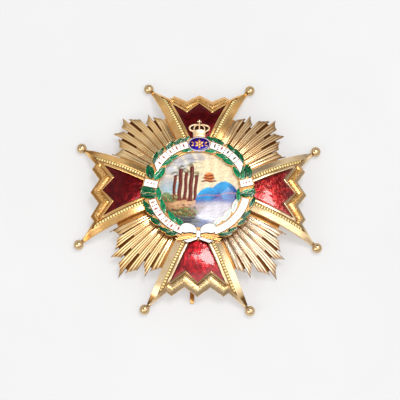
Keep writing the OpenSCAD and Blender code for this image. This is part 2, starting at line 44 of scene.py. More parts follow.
# Sizes of the star in millimetres, the same as in the model's source
BALL_REACH = 40
BALL_SPREAD = 17.5
BALL_D = 3.45
NECK_L = 0.35
NECK_D = 1.2
DOME_Z = 9.95
DOME_FLAT_R = 21
TIP_RISE = 0.35
ARM_T = 1.6
ARM_DEGREES = 24.5
ROOT_DROP = 5.1
ROOT_SPREAD = 10.3
BEVEL_W = 1.9
CREST_BEVEL_W = 1.1
FOOT_W = 8
FOOT_L = 2.6
RECESS_DEPTH = 0.8
SIDE_BORDER_W = 4.3
RAY_REACH = 39.2
FAN_GAP = 1.2
FAN_DROP = 2.1
FAN_T = 1.05
FAN_BOTTOM_Z = 6.8
DISC_R = 13.5
DISC_EDGE_Z = 9.3
DISC_T = 1
DISC_DOME = 0.7
BEZEL_IN_R = 13.55
BEZEL_WALL = 0.9
LEDGE_W = 1.2
ARM_IN_R = 14.5
RIBBON_R = 16.1
RIBBON_W = 2.6
LEAF_L = 4
LEAF_W = 1.4
LEAF_T = 0.3
STEM_Z = 10.45
STEM_W = 0.75
RIBBON_Z = 10.65
RIBBON_T = 0.3
OVAL_L = 7.2
OVAL_W = 5
OVAL_Y = 15.9
OVAL_RIM_H = 0.75
OVAL_ENAMEL_Z = 10.75
OVAL_ENAMEL_T = 0.3
CROWN_Y = 18.7
CROWN_H = 4.8
CROWN_T = 0.9
CROSS_H = 1.2

ARM_ANGLE = math.radians(ARM_DEGREES)
SIDE_RUN = math.tan(ARM_ANGLE)
CREST_SLOPE = ROOT_DROP / (BALL_SPREAD - ROOT_SPREAD)
TIP_GAP = BALL_D / 2 + NECK_L
TIP_R = math.hypot(BALL_SPREAD, BALL_REACH) - TIP_GAP
DOME_FALL = DOME_Z - ARM_T / 2 - TIP_RISE - BALL_D / 2
CURVE_R = ((TIP_R - DOME_FLAT_R) ** 2 + DOME_FALL ** 2) / (2 * DOME_FALL)
RIBBON_IN = RIBBON_R - RIBBON_W / 2
RIBBON_OUT = RIBBON_R + RIBBON_W / 2

# Rays of one fan, as in the source: the angle and reach of one edge, the angle and reach of
# the other edge, the depth of the hollow end, and the radius where the slit after it starts
RAYS = [
    (-1.05, 0.835, -0.695, 0.78, 0.14, 26),
    (-0.665, 0.81, -0.44, 0.87, 0.14, 26.5),
    (-0.37, 0.935, -0.16, 0.875, 0.14, 30),
    (-0.1, 0.925, 0.13, 1, 0.24, 29.5),
    (0.2, 0.94, 0.415, 0.865, 0.14, 27),
    (0.47, 0.8, 0.69, 0.875, 0.2, 25.5),
    (0.75, 0.815, 1.05, 0.745, 0.1, 25)]

# Leaves of the wreath, as in the source: the angle round the star, the ribbon's edge, the
# distance beyond it, the length, the width and the lean
LEAVES = {
    "laurel_top_left": [
        (105, 1, 0.65, 0.85, 0.79, 16), (113, 1, 0.65, 0.82, 0.79, 15),
        (123, 1, 0.65, 0.9, 0.93, 17), (135, 1, 0.65, 0.85, 0.75, 10),
        (144, 1, 0.55, 1.07, 1.07, 24), (109, -1, 0.2, 1.15, 0.79, -19),
        (128, -1, 0.45, 0.9, 0.86, -18), (138, -1, 0.55, 1.05, 0.93, -13),
        (161, 1, 0, 1.15, 1.86, 34), (159, -1, 0.45, 1.25, 1.7, -17)],
    "laurel_bottom_left": [
        (189, -1, 0.9, 1.1, 1.07, -2), (183, 1, -0.45, 1.3, 1.36, 75),
        (190, 1, -0.35, 1.2, 1.3, 79), (185, 1, 0.8, 0.85, 1.07, -15),
        (200, 1, 0.8, 0.85, 0.93, 15), (208, 1, 0.65, 0.95, 1, 24),
        (220, 1, 0.9, 1.05, 1.07, 13), (234, 1, 0.9, 1.12, 0.86, 16),
        (242, 1, 0.65, 1.05, 1, 33), (209, -1, 0.9, 1.15, 1, -14),
        (229, -1, 0.9, 1.05, 1.07, -19), (243, -1, 0.8, 1, 1, -20)],
    "laurel_top_right": [
        (77.5, 1, 0.7, 0.78, 0.71, -18), (69, 1, 0.65, 1.12, 1, -7),
        (54, 1, 0.55, 0.85, 0.93, -14), (46, 1, 0.55, 1, 1.07, -4),
        (37, 1, 0.35, 0.97, 0.93, -27), (73, -1, 0.45, 1, 0.79, 17),
        (57, -1, 0.55, 1.05, 0.93, 13), (44, -1, 0.55, 1.07, 1.2, 21),
        (24, -1, 0.55, 1.15, 1.07, 6), (22, 1, -1.05, 1.25, 0.93, -22),
        (22, 1, -0.25, 1.15, 1.29, -30), (20, 1, 0.45, 1.05, 1.14, -15)],
    "laurel_bottom_right": [
        (350, -1, 0.9, 1.1, 0.93, 12), (356, 1, -0.8, 1.25, 1.29, -68),
        (353, 1, -0.8, 1.15, 1.07, -78), (356, 1, 0.45, 0.85, 1.07, -11),
        (345, 1, 0.8, 0.88, 0.93, -10), (330, 1, 0.65, 0.95, 1, -18),
        (321, 1, 0.9, 0.9, 0.93, -13), (308, 1, 0.75, 0.8, 0.79, -13),
        (299, 1, 0.8, 1.05, 0.86, -19), (333, -1, 0.9, 1.15, 1, 12),
        (316, -1, 1, 1.2, 1.07, 14), (300, -1, 1, 1.1, 1, 12)]}

# Angles round the star where each branch's stem starts and ends
STEMS = {
    "laurel_top_left": (101, 169), "laurel_bottom_left": (181, 269.5),
    "laurel_top_right": (13, 79), "laurel_bottom_right": (270.5, 361)}

# Stretches of ribbon: the two end angles of the band and the angle of its pointed tip
BANDS = {
    "ribbon_top_left": (103, 150, 159), "ribbon_top_right": (77, 31, 21),
    "ribbon_bottom_left": (251.5, 195, 195), "ribbon_bottom_right": (288.5, 348, 348)}

# Cross pieces: the angle round the star, the length, the width and the tilt
CROSSES = {"ribbon_left": (175, 1.88, 1.04, -6), "ribbon_right": (8, 1.77, 1.04, 6)}


def smooth(value, low, high):
    t = min(1.0, max(0.0, (value - low) / (high - low)))
    return t * t * (3 - 2 * t)


def lerp(a, b, t):
    return a + (b - a) * t


def steps(start, end, count):
    return [lerp(start, end, i / count) for i in range(count + 1)]


def table(t, points):
    """Piecewise linear value at t from (position, value) pairs."""
    for (t0, v0), (t1, v1) in zip(points, points[1:]):
        if t <= t1:
            return lerp(v0, v1, (t - t0) / (t1 - t0)) if t > t0 else v0
    return points[-1][1]


def polar(r, degrees):
    a = math.radians(degrees)
    return (r * math.cos(a), r * math.sin(a))


def along(line, t):
    """Point of a polyline at a share t of its number of stretches."""
    whole = min(len(line) - 2, int(t))
    (x0, y0), (x1, y1) = line[whole], line[whole + 1]
    return (lerp(x0, x1, t - whole), lerp(y0, y1, t - whole))


def dome(r):
    if r <= DOME_FLAT_R:
        return DOME_Z
    return DOME_Z - CURVE_R + math.sqrt(CURVE_R ** 2 - (r - DOME_FLAT_R) ** 2)


# Points closer than this are joined, in millimetres
MERGE = 0.002

# Shortest edge that is kept, in metres, and the smallest outline that has an up side
SHORTEST = 1e-7
FLATTEST = 1e-12


class Shape:
    """Collects vertices and faces in millimetres, then makes a mesh object in metres."""

    def __init__(self):
        self.verts = []
        self.faces = []
        self.mats = []
        self.painted_shade = []

    def point(self, x, y, z, painted_shade=0.0):
        self.verts.append((x, y, z))
        self.painted_shade.append(painted_shade)
        return len(self.verts) - 1

    def face(self, corners, mat=0, up=None):
        """One face without repeated corners. up says whether it is turned to face up or down."""
        clean = list(dict.fromkeys(corners))
        if len(clean) < 3:
            return
        if up is not None:
            area = 0.0
            for i, c in enumerate(clean):
                x0, y0, _ = self.verts[c]
                x1, y1, _ = self.verts[clean[(i + 1) % len(clean)]]
                area += x0 * y1 - x1 * y0
            if abs(area) > FLATTEST and (area > 0) != up:
                clean.reverse()
        self.faces.append(clean)
        self.mats.append(mat)

    def cap(self, row, mat=0, up=None):
        """One flat face over a row of points."""
        self.face([self.point(*p[:3]) for p in row], mat, up)

    def grid(self, rows, mat=0, up=None, closed=False, mat_of=None):
        """A sheet from rows of (x, y, z, painted shade). closed joins each row's end to its start."""
        index = [[self.point(*p) for p in row] for row in rows]
        for i, (row, after) in enumerate(zip(index, index[1:])):
            for j in range(len(row) if closed else len(row) - 1):
                k = (j + 1) % len(row)
                self.face((row[j], row[k], after[k], after[j]), mat_of(i, j) if mat_of else mat, up)

    def build(self, name, materials, angle=35, turn=0.0, normals=False):
        """The piece that takes the place of the CAD node of the same name."""
        mesh = bpy.data.meshes.new(name)
        c, s = polar(1, turn)
        points = [((x * c - y * s) * MM, (x * s + y * c) * MM, z * MM) for x, y, z in self.verts]
        mesh.from_pydata(points, [], self.faces)
        mesh.polygons.foreach_set("material_index", self.mats)
        # Each point's painted shade: how far its colour turns to a darker tint, for shade in hollows, gaps,
        # creases and on walls
        layer = mesh.attributes.new("painted_shade", "FLOAT", "POINT")
        layer.data.foreach_set("value", self.painted_shade)
        work = bmesh.new()
        work.from_mesh(mesh)
        bmesh.ops.remove_doubles(work, verts=work.verts, dist=MERGE * MM)
        bmesh.ops.dissolve_degenerate(work, edges=work.edges, dist=SHORTEST)
        if normals:
            bmesh.ops.recalc_face_normals(work, faces=work.faces)
        work.to_mesh(mesh)
        work.free()
        mesh.shade_smooth()
        mesh.set_sharp_from_angle(angle=math.radians(angle))
        obj = bpy.data.objects.new(name, mesh)
        bpy.context.scene.collection.objects.link(obj)
        for material in materials:
            mesh.materials.append(material)
        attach(obj, "root")
        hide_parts(name)
        return obj


class Nodes:
    """A short way to wire shader nodes."""

    def __init__(self, tree):
        self.nodes = tree.nodes
        self.links = tree.links

    def node(self, kind, **settings):
        node = self.nodes.new("ShaderNode" + kind)
        for name, value in settings.items():
            setattr(node, name, value)
        return node

    def put(self, socket, value):
        if isinstance(value, bpy.types.NodeSocket):
            self.links.new(value, socket)
        elif isinstance(value, tuple) and socket.type == "RGBA":
            socket.default_value = (*value, 1)
        else:
            socket.default_value = value

    def fill(self, sockets, *values):
        for socket, value in zip(sockets, values):
            self.put(socket, value)

    def math(self, operation, a, b=0.0, c=0.0):
        node = self.node("Math", operation=operation)
        self.fill(node.inputs, a, b, c)
        return node.outputs[0]

    def plus(self, a, b):
        return self.math("ADD", a, b)

    def times(self, a, b):
        return self.math("MULTIPLY", a, b)

    def length(self, x, y):
        return self.math("SQRT", self.plus(self.times(x, x), self.times(y, y)))

    def axes(self, vector):
        node = self.node("SeparateXYZ")
        self.put(node.inputs[0], vector)
        return node.outputs

    def joined(self, x, y):
        node = self.node("CombineXYZ")
        self.fill(node.inputs, x, y)
        return node.outputs[0]

    def ramp(self, value, *stops):
        node = self.node("ValToRGB")
        self.put(node.inputs[0], value)
        marks = node.color_ramp.elements
        while len(marks) < len(stops):
            marks.new(0.5)
        for mark, (position, color) in zip(marks, stops):
            mark.position = position
            mark.color = (*color, 1)
        return node.outputs[0]

    def mix(self, factor, a, b, blend="MIX"):
        node = self.node("Mix", data_type="RGBA", blend_type=blend)
        self.fill((node.inputs[0], node.inputs[6], node.inputs[7]), factor, a, b)
        return node.outputs[2]

    def range(self, value, low, high, out_low, out_high, kind="LINEAR"):
        node = self.node("MapRange", interpolation_type=kind)
        self.fill(node.inputs, value, low, high, out_low, out_high)
        return node.outputs[0]


class Paint(Nodes):
    """A procedural material on one principled shader, with places in millimetres."""

    def __init__(self, name, **values):
        self.material = bpy.data.materials.new(name)
        self.material.use_nodes = True
        super().__init__(self.material.node_tree)
        self.nodes.clear()
        output = self.node("OutputMaterial")
        self.shader = self.node("BsdfPrincipled")
        self.links.new(self.shader.outputs[0], output.inputs[0])
        self.set(**values)
        scale = self.node("VectorMath", operation="SCALE")
        self.put(scale.inputs[0], self.node("TexCoord").outputs["Object"])
        self.put(scale.inputs["Scale"], 1 / MM)
        self.place = scale.outputs[0]

    def set(self, **values):
        for name, value in values.items():
            self.put(self.shader.inputs[name.replace("_", " ")], value)

    def noise(self, scale, detail, vector=None, roughness=0.55):
        node = self.node("TexNoise")
        self.put(node.inputs["Vector"], vector or self.place)
        self.put(node.inputs["Scale"], scale)
        self.put(node.inputs["Detail"], detail)
        self.put(node.inputs["Roughness"], roughness)
        return node.outputs["Fac"]

    def layer(self, name, output):
        return self.node("Attribute", attribute_name=name).outputs[output]

    def with_painted_shade(self, color, tint):
        """The colour turned to a darker tint by the mesh's painted shade, which paints shade in hollows, gaps
        and creases.
        """
        return self.mix(self.layer("painted_shade", "Fac"), color, tint)

    def bump(self, height, strength, distance, socket="Normal"):
        node = self.node("Bump")
        self.put(node.inputs["Height"], height)
        self.put(node.inputs["Strength"], strength)
        self.put(node.inputs["Distance"], distance * MM)
        self.put(self.shader.inputs[socket], node.outputs[0])


def metal(name, light, dark, rough, grain, grain_scale, grain_depth, radial=False, hollow=None,
          specks=0.0, metallic=0.9):
    """Gilt metal: blotchy colour, painted shade in the hollows, fine scratches or radial brushing."""
    paint = Paint(name, Metallic=metallic)
    color = paint.mix(paint.range(paint.noise(0.35, 4.0), 0.35, 0.65, 0, 1), light, dark)
    # hollow is the darker tint of the painted shade, also used for the dark specks
    hollow = hollow or tuple(c * k for c, k in zip(dark, (0.42, 0.3, 0.16)))
    color = paint.with_painted_shade(color, hollow)
    fine = paint.noise(grain_scale, 5.0, roughness=0.65)
    if specks:
        pits = paint.noise(2.2, 2.0, roughness=0.7)
        color = paint.mix(paint.range(pits, 0.5, 0.42, 0, specks), color, hollow)
        color = paint.mix(paint.range(pits, 0.54, 0.62, 0, specks), color, (1.0, 0.88, 0.6))
    height = streaks = fine
    if radial:
        x, y, _ = paint.axes(paint.place)
        around = paint.times(paint.math("ARCTAN2", y, x), 260.0)
        outward = paint.times(paint.length(x, y), 0.12)
        streaks = paint.noise(1.0, 4.0, paint.joined(around, outward), 0.7)
        height = paint.plus(streaks, paint.times(fine, 0.3))
    paint.set(Base_Color=color, Roughness=paint.range(streaks, 0.3, 0.7, *rough))
    paint.bump(height, grain, grain_depth)
    return paint.material


def guilloche(name, light, dark, coat=1.0, lines=0.0):
    """Clear red enamel over metal engraved with wavy flames along the arm, with painted highlights and shade
    on its strands and painted shade at its sunk edges.
    """
    paint = Paint(name, Metallic=0.85, Roughness=0.32, Coat_Weight=coat, Coat_Roughness=0.09,
                  Coat_IOR=1.5)
    x, y, _ = paint.axes(paint.place)
    radius = paint.length(x, y)
    around = paint.plus(paint.times(paint.math("ARCTAN2", y, x), 22.0),
                        paint.times(paint.noise(0.28, 2.0), 5.0))
    swing = paint.times(paint.math("SINE", paint.times(radius, 1.4)), 1.3)
    waves = paint.math("SINE", paint.plus(paint.times(around, 2.2), swing))
    flames = paint.noise(0.9, 4.0, paint.joined(around, paint.times(radius, 0.55)), 0.6)
    strands = paint.noise(1.0, 3.0, paint.joined(paint.times(around, 1.1), paint.times(radius, 1.9)), 0.6)
    color = paint.mix(paint.range(flames, 0.38, 0.62, 0, 1), dark, light)
    # Pink strands are painted highlights and near-black strands are painted shade, in the amount lines
    color = paint.mix(paint.range(strands, 0.5, 0.62, 0, lines), color, (0.95, 0.2, 0.12))
    color = paint.mix(paint.range(strands, 0.46, 0.38, 0, lines), color, (0.1, 0.0, 0.002))
    # Painted shade: darker where the enamel sinks at the cell's edges
    paint.set(Base_Color=paint.with_painted_shade(color, (0.04, 0.0, 0.0)))
    paint.bump(paint.plus(paint.times(waves, 0.35), paint.times(flames, 1.6)), 0.9, 0.05)
    paint.bump(paint.noise(0.5, 2.0), 0.5, 0.14, "Coat Normal")
    return paint.material


def glass_enamel(name, light, dark, scale=1.1, edge=None):
    """Opaque enamel with fired unevenness under a glossy skin. edge is the darker tint of its painted shade.
    """
    paint = Paint(name, Metallic=0.0, Roughness=0.3, Coat_Weight=1.0, Coat_Roughness=0.06,
                  Specular_IOR_Level=0.05)
    color = paint.mix(paint.range(paint.noise(scale, 4.0), 0.36, 0.64, 0, 1), light, dark)
    paint.set(Base_Color=paint.with_painted_shade(color, edge or tuple(c * 0.45 for c in dark)))
    paint.bump(paint.noise(0.5, 2.0), 0.25, 0.05)
    return paint.material


def blue_enamel():
    """Deep blue, brighter towards the plaque's middle."""
    paint = Paint("enamel_blue", Roughness=0.25, Coat_Weight=0.6, Coat_Roughness=0.06,
                  Specular_IOR_Level=0.05)
    x, y, _ = paint.axes(paint.place)
    across = paint.times(x, 1 / (OVAL_L / 2))
    down = paint.times(paint.math("SUBTRACT", y, OVAL_Y - 0.5), 1 / (OVAL_W / 2))
    cloud = paint.range(paint.noise(1.4, 3.0), 0.3, 0.7, -0.2, 0.2)
    paint.set(Base_Color=paint.ramp(paint.plus(paint.length(across, down), cloud),
                                    (0.1, (0.012, 0.004, 0.62)), (0.55, (0.02, 0.002, 0.25)),
                                    (1.0, (0.015, 0.0, 0.07))))
    paint.bump(paint.noise(1.2, 2.0), 0.2, 0.04)
    return paint.material


# Metals. The columns are the lighter and darker colour, the range of roughness, and the strength,
# scale and depth of the grain.
GOLD = metal("gold_polished", (1.0, 0.64, 0.28), (0.9, 0.52, 0.17), (0.17, 0.27), 0.2, 2.6, 0.02)
# A paler copy of the polished gold for the lit right and bottom arms: painted highlight
GOLD_LIT = metal("gold_polished_painted_highlight", (1.0, 0.78, 0.5), (0.95, 0.68, 0.37), (0.17, 0.27), 0.2, 2.6,
                   0.02, hollow=(0.16, 0.075, 0.02))
GOLD_GRAIN = metal("gold_matted", (0.94, 0.53, 0.17), (0.78, 0.38, 0.08), (0.22, 0.34), 1.0, 2.2, 0.08,
                   specks=0.5)
# A paler copy of the matted gold for the lit bottom arm: painted highlight
GOLD_GRAIN_LIT = metal("gold_matted_painted_highlight", (0.88, 0.68, 0.36), (0.7, 0.48, 0.2), (0.22, 0.34), 1.0, 2.2,
                        0.08, specks=0.5)
GOLD_RAY = metal("gold_rays", (1.0, 0.74, 0.4), (1.0, 0.64, 0.28), (0.14, 0.22), 0.2, 2.0, 0.01, True,
                 hollow=(0.2, 0.075, 0.015))
# A paler copy of the rays' gold for the lit bottom right fan: painted highlight
GOLD_RAY_LIT = metal("gold_rays_painted_highlight", (1.0, 0.86, 0.66), (1.0, 0.8, 0.55), (0.14, 0.22), 0.2, 2.0, 0.01,
                      True, hollow=(0.24, 0.09, 0.02))
# A darker copy of the rays' gold for the top right fan: painted shade
GOLD_RAY_SHADED = metal("gold_rays_painted_shade", (0.86, 0.61, 0.34), (0.8, 0.5, 0.24), (0.2, 0.3), 0.2, 2.0, 0.01,
                      True, hollow=(0.2, 0.075, 0.015))
GOLD_BACK = metal("gold_back", (0.9, 0.6, 0.28), (0.72, 0.44, 0.17), (0.28, 0.46), 0.3, 1.2, 0.03)
# Dark orange gold for the slits' floors and the bottom fans' ground beside the arms: painted shade
GOLD_SHADED_GROUND = metal("gold_fan_ground_painted_shade", (0.46, 0.22, 0.065), (0.34, 0.15, 0.035), (0.4, 0.5), 0.2, 1.5,
                   0.01, True)
GOLD_PALE = metal("gold_crown", (0.95, 0.72, 0.48), (0.85, 0.58, 0.34), (0.3, 0.42), 0.4, 2.5, 0.03)
# Near-black gold: the sheet of painted shade under the crown's arches, and the bow's dark edges
DARK_GOLD = metal("gold_near_black", (0.12, 0.05, 0.015), (0.05, 0.02, 0.005), (0.4, 0.5), 0.2, 1.2, 0.02)
BALL_GOLD = metal("gold_ball", (0.7, 0.5, 0.28), (0.58, 0.41, 0.21), (0.09, 0.16), 0.1, 1.5, 0.01)
# Pale, partly non-metal gold for the raised bars, so they read bright whatever they mirror: painted highlight
GOLD_BAR_LIT = metal("gold_bars_painted_highlight", (1.0, 0.86, 0.4), (1.0, 0.8, 0.33), (0.2, 0.3), 0.1, 2.2, 0.01,
                  hollow=(0.2, 0.075, 0.012), metallic=0.35)
EDGE_GOLD = metal("gold_edges", (0.62, 0.33, 0.12), (0.4, 0.19, 0.06), (0.25, 0.4), 0.2, 2.5, 0.01)

# Enamels
RED = guilloche("enamel_red", (0.34, 0.005, 0.01), (0.12, 0.0, 0.003), 0.8, 0.3)
# A brighter copy of the red for the lit bottom arm: painted highlight
RED_LIT = guilloche("enamel_red_painted_highlight", (0.36, 0.003, 0.008), (0.13, 0.0, 0.003))
# A darker copy of the red for the top and left arms: painted shade
RED_SHADED = guilloche("enamel_red_painted_shade", (0.17, 0.002, 0.004), (0.07, 0.0, 0.002), 0.25)
WHITE = glass_enamel("enamel_white", (0.93, 0.9, 0.88), (0.86, 0.82, 0.79), edge=(0.75, 0.66, 0.55))
LILAC = glass_enamel("enamel_lilac", (0.78, 0.72, 0.88), (0.68, 0.62, 0.8))
LEAF_DARK = glass_enamel("enamel_leaf_dark", (0.0, 0.16, 0.055), (0.0, 0.03, 0.01))
LEAF_LIGHT = glass_enamel("enamel_leaf_light", (0.005, 0.34, 0.14), (0.0, 0.09, 0.035))
# Near-white green for the inner leaves at the lower right: painted glare
LEAF_GLARE = glass_enamel("enamel_leaf_painted_glare", (0.84, 0.87, 0.82), (0.66, 0.76, 0.68))
# Pale marks for the bottom right ribbon: painted glare
MARK_GLARE = glass_enamel("enamel_mark_painted_glare", (0.84, 0.72, 0.62), (0.74, 0.62, 0.52), 2.0)
MARK_BROWN = glass_enamel("enamel_mark_brown", (0.1, 0.04, 0.015), (0.05, 0.02, 0.008), 2.0)
MARK_RED = glass_enamel("enamel_mark_red", (0.42, 0.05, 0.03), (0.26, 0.04, 0.02), 2.0)
MARK_GOLD = glass_enamel("enamel_mark_gold", (0.5, 0.2, 0.06), (0.34, 0.13, 0.04), 2.0)
BLUE = blue_enamel()


# Lines of one arm, which points along +Y. A line at a distance side_in runs beside the arm's side.

def side_x(y, side_in):
    return BALL_SPREAD - (BALL_REACH - y) * SIDE_RUN - side_in / math.cos(ARM_ANGLE)


def side_at_r(side_in, r=ARM_IN_R):
    """Where the line beside the arm's side meets a circle round the star's middle."""
    a = side_x(0, side_in)
    b = SIDE_RUN
    y = (-a * b + math.sqrt((a * b) ** 2 - (1 + b * b) * (a * a - r * r))) / (1 + b * b)
    return (side_x(y, side_in), y)


def corner(side_in, crest_in):
    """Where the line beside the side meets the line beside the crest, near the ball."""
    shift = side_in / math.cos(ARM_ANGLE)
    back = (crest_in * SIDE_RUN + shift) / (1 - CREST_SLOPE * SIDE_RUN)
    return (BALL_SPREAD - back, BALL_REACH - CREST_SLOPE * back - crest_in)


def toward(a, b, distance):
    """Point at a distance from a in the direction of b."""
    run = math.hypot(b[0] - a[0], b[1] - a[1])
    return (a[0] + (b[0] - a[0]) * distance / run, a[1] + (b[1] - a[1]) * distance / run)


BALL = (BALL_SPREAD, BALL_REACH)
KNEE = corner(BEVEL_W, CREST_BEVEL_W)
TIP_L = 5.4
CREST = [(0, 36.4), (4.3, 33.45), (8.6, 36.1), (10.3, 34.9)]
CREST_OUT = CREST + [toward(BALL, CREST[-1], TIP_L), toward(BALL, CREST[-1], TIP_GAP)]
BAND_START = [(x, y - CREST_BEVEL_W) for x, y in CREST]
CREST_IN = BAND_START + [KNEE, toward(BALL, KNEE, TIP_GAP)]
SIDE_FOOT = side_at_r(0)
SIDE_OUT = [SIDE_FOOT, toward(BALL, SIDE_FOOT, TIP_L), toward(BALL, SIDE_FOOT, TIP_GAP)]
STRIP_OUT = [side_at_r(BEVEL_W), KNEE]
SIDE_IN = STRIP_OUT + [toward(BALL, KNEE, TIP_GAP)]
STRIP_IN = [side_at_r(3.4), (11.24, 34.47)]
CELL_FOOT_Y = 16.6
CELL_TOOTH = (0, 32.3)
CELL_NOTCH = (4.3, 28.45)
CELL_CORNER = (side_x(32.0, SIDE_BORDER_W), 32.0)
RIM_IN = [side_at_r(SIDE_BORDER_W), CELL_CORNER]
CREST_BAND_OUT = BAND_START + [STRIP_IN[1]]
CREST_BAND_IN = [CELL_TOOTH, CELL_NOTCH, CELL_CORNER, CELL_CORNER, CELL_CORNER]
CELL_FOOT = [(0, CELL_FOOT_Y), (side_x(CELL_FOOT_Y, SIDE_BORDER_W), CELL_FOOT_Y)]

# Drops below the dome: of the bevels' edges, of their tops, and of the ground of the raised bars
BEVEL_EDGE_DROP = 0.44
CREST_EDGE_DROP = 0.68
BEVEL_TOP_DROP = 0.06
CREST_TOP_DROP = 0.3
RIM_DROP = 0.12
BAR_FLOOR = 0.32
EDGE_ROUND = 0.1

# The raised bars: their pitch, the lift along each and across the strip, and the steps in each
BAR_PITCH = 0.97
BAR_LENGTHWISE = [(0, 0), (0.1, 0), (0.17, 0.55), (0.3, 0.9), (0.5, 1), (0.7, 0.9), (0.83, 0.55),
                  (0.9, 0), (1, 0)]
BAR_ACROSS = [(0, 0), (0.08, 0), (0.13, 0), (0.16, 0), (0.22, 0.6), (0.34, 0.9), (0.5, 1), (0.66, 0.9),
              (0.79, 0.6), (0.86, 0), (0.93, 0), (1, 0)]
BAR_GROUND = [(0, BEVEL_TOP_DROP), (0.08, 0.03), (0.13, 0.08), (0.16, BAR_FLOOR), (1, BAR_FLOOR)]
BAR_STEPS = 12
CREST_ACROSS = [0, 0.04, 0.09, 0.14, 0.2, 0.28, 0.36, 0.44, 0.5, 0.54, 0.58, 0.62, 0.66, 0.7, 0.74, 0.79,
                0.84, 0.9, 0.96, 1]
GROOVE = [(0, 0.74), (1, 0.64), (2, 0.6), (3, 0.56), (4, 0.56)]


def crest_edge(t):
    return lerp(CREST_EDGE_DROP, BEVEL_EDGE_DROP, smooth(t, 3, 4))


def crest_bevel(t, v):
    near_tip = t >= 3.6
    return table(v, [(0, crest_edge(t) + EDGE_ROUND), (0.06, crest_edge(t)),
                     (0.9, 0.1 if near_tip else 0.33), (1, BEVEL_TOP_DROP if near_tip else CREST_TOP_DROP)])


def side_bevel(t, v):
    return table(v, [(0, BEVEL_EDGE_DROP + EDGE_ROUND), (0.05, BEVEL_EDGE_DROP), (0.93, 0.1),
                     (1, BEVEL_TOP_DROP)])


def crest_profile(t, v):
    """Drop across the crest's band, from the bevel's top to the enamel."""
    groove = table(t, GROOVE)
    if v < groove:
        return table(v / groove, [(0, CREST_TOP_DROP), (0.1, 0.16), (0.2, 0.04), (0.32, 0.0), (0.5, 0.06),
                                  (0.8, 0.26), (0.93, 0.42), (1, 0.5)])
    return table((v - groove) / (1 - groove), [(0, 0.5), (0.2, 0.3), (0.4, 0.06), (0.6, 0.0), (0.85, 0.02),
                                               (1, RIM_DROP)])


def side_rim(t, v):
    """Drop across the smooth rim beside the enamel, which runs into the crest's rim."""
    rim = table(v, [(0, BAR_FLOOR), (0.06, 0.1), (0.16, 0.02), (0.5, 0.0), (0.75, 0.0), (0.92, 0.05),
                    (1, RIM_DROP)])
    return lerp(rim, crest_profile(4, v), smooth(t, 0.86, 1))


def bar_lift(t, v):
    (ax, ay), (bx, by) = along(STRIP_OUT, t), along(STRIP_IN, t)
    run = lerp(ax, bx, v) * math.sin(ARM_ANGLE) + lerp(ay, by, v) * math.cos(ARM_ANGLE)
    lift = table(run / BAR_PITCH % 1, BAR_LENGTHWISE)
    return lift * table(v, BAR_ACROSS) * (1 - smooth(t, 0.95, 0.99))


def bars(t, v):
    return table(v, BAR_GROUND) - bar_lift(t, v) * (BAR_FLOOR - 0.02)


# Painted shade in the gaps between the raised bars, none on their tops
def bar_painted_shade(t, v, d):
    return 1 - smooth(bar_lift(t, v), 0.15, 0.72) if v > 0.14 else 0.0


def arm_sheet(s, line_a, line_b, stations, across, drop, mat=0, up=True, painted_shade=None, mat_of=None):
    """A ruled band between two lines, and its mirror image, at the dome's height less a drop."""
    for side in (1, -1):
        rows = []
        for t in stations:
            ax, ay = along(line_a, t)
            bx, by = along(line_b, t)
            row = []
            for v in across:
                x, y = lerp(ax, bx, v), lerp(ay, by, v)
                d = drop(t, v) if callable(drop) else drop
                row.append((side * x, y, dome(math.hypot(x, y)) - d, painted_shade(t, v, d) if painted_shade else 0.0))
            rows.append(row)
        s.grid(rows, mat, up, mat_of=mat_of)


def arm_wall(s, line, fine, levels):
    """An upright strip along a line, and its mirror image. The levels are drops and painted shade."""
    stretches = len(line) - 1
    for side in (1, -1):
        rows = []
        for drop, painted_shade in levels:
            row = []
            for t in steps(0, stretches, stretches * fine):
                x, y = along(line, t)
                d = drop(t) if callable(drop) else drop
                row.append((side * x, y, dome(math.hypot(x, y)) - d, painted_shade))
            rows.append(row)
        s.grid(rows)


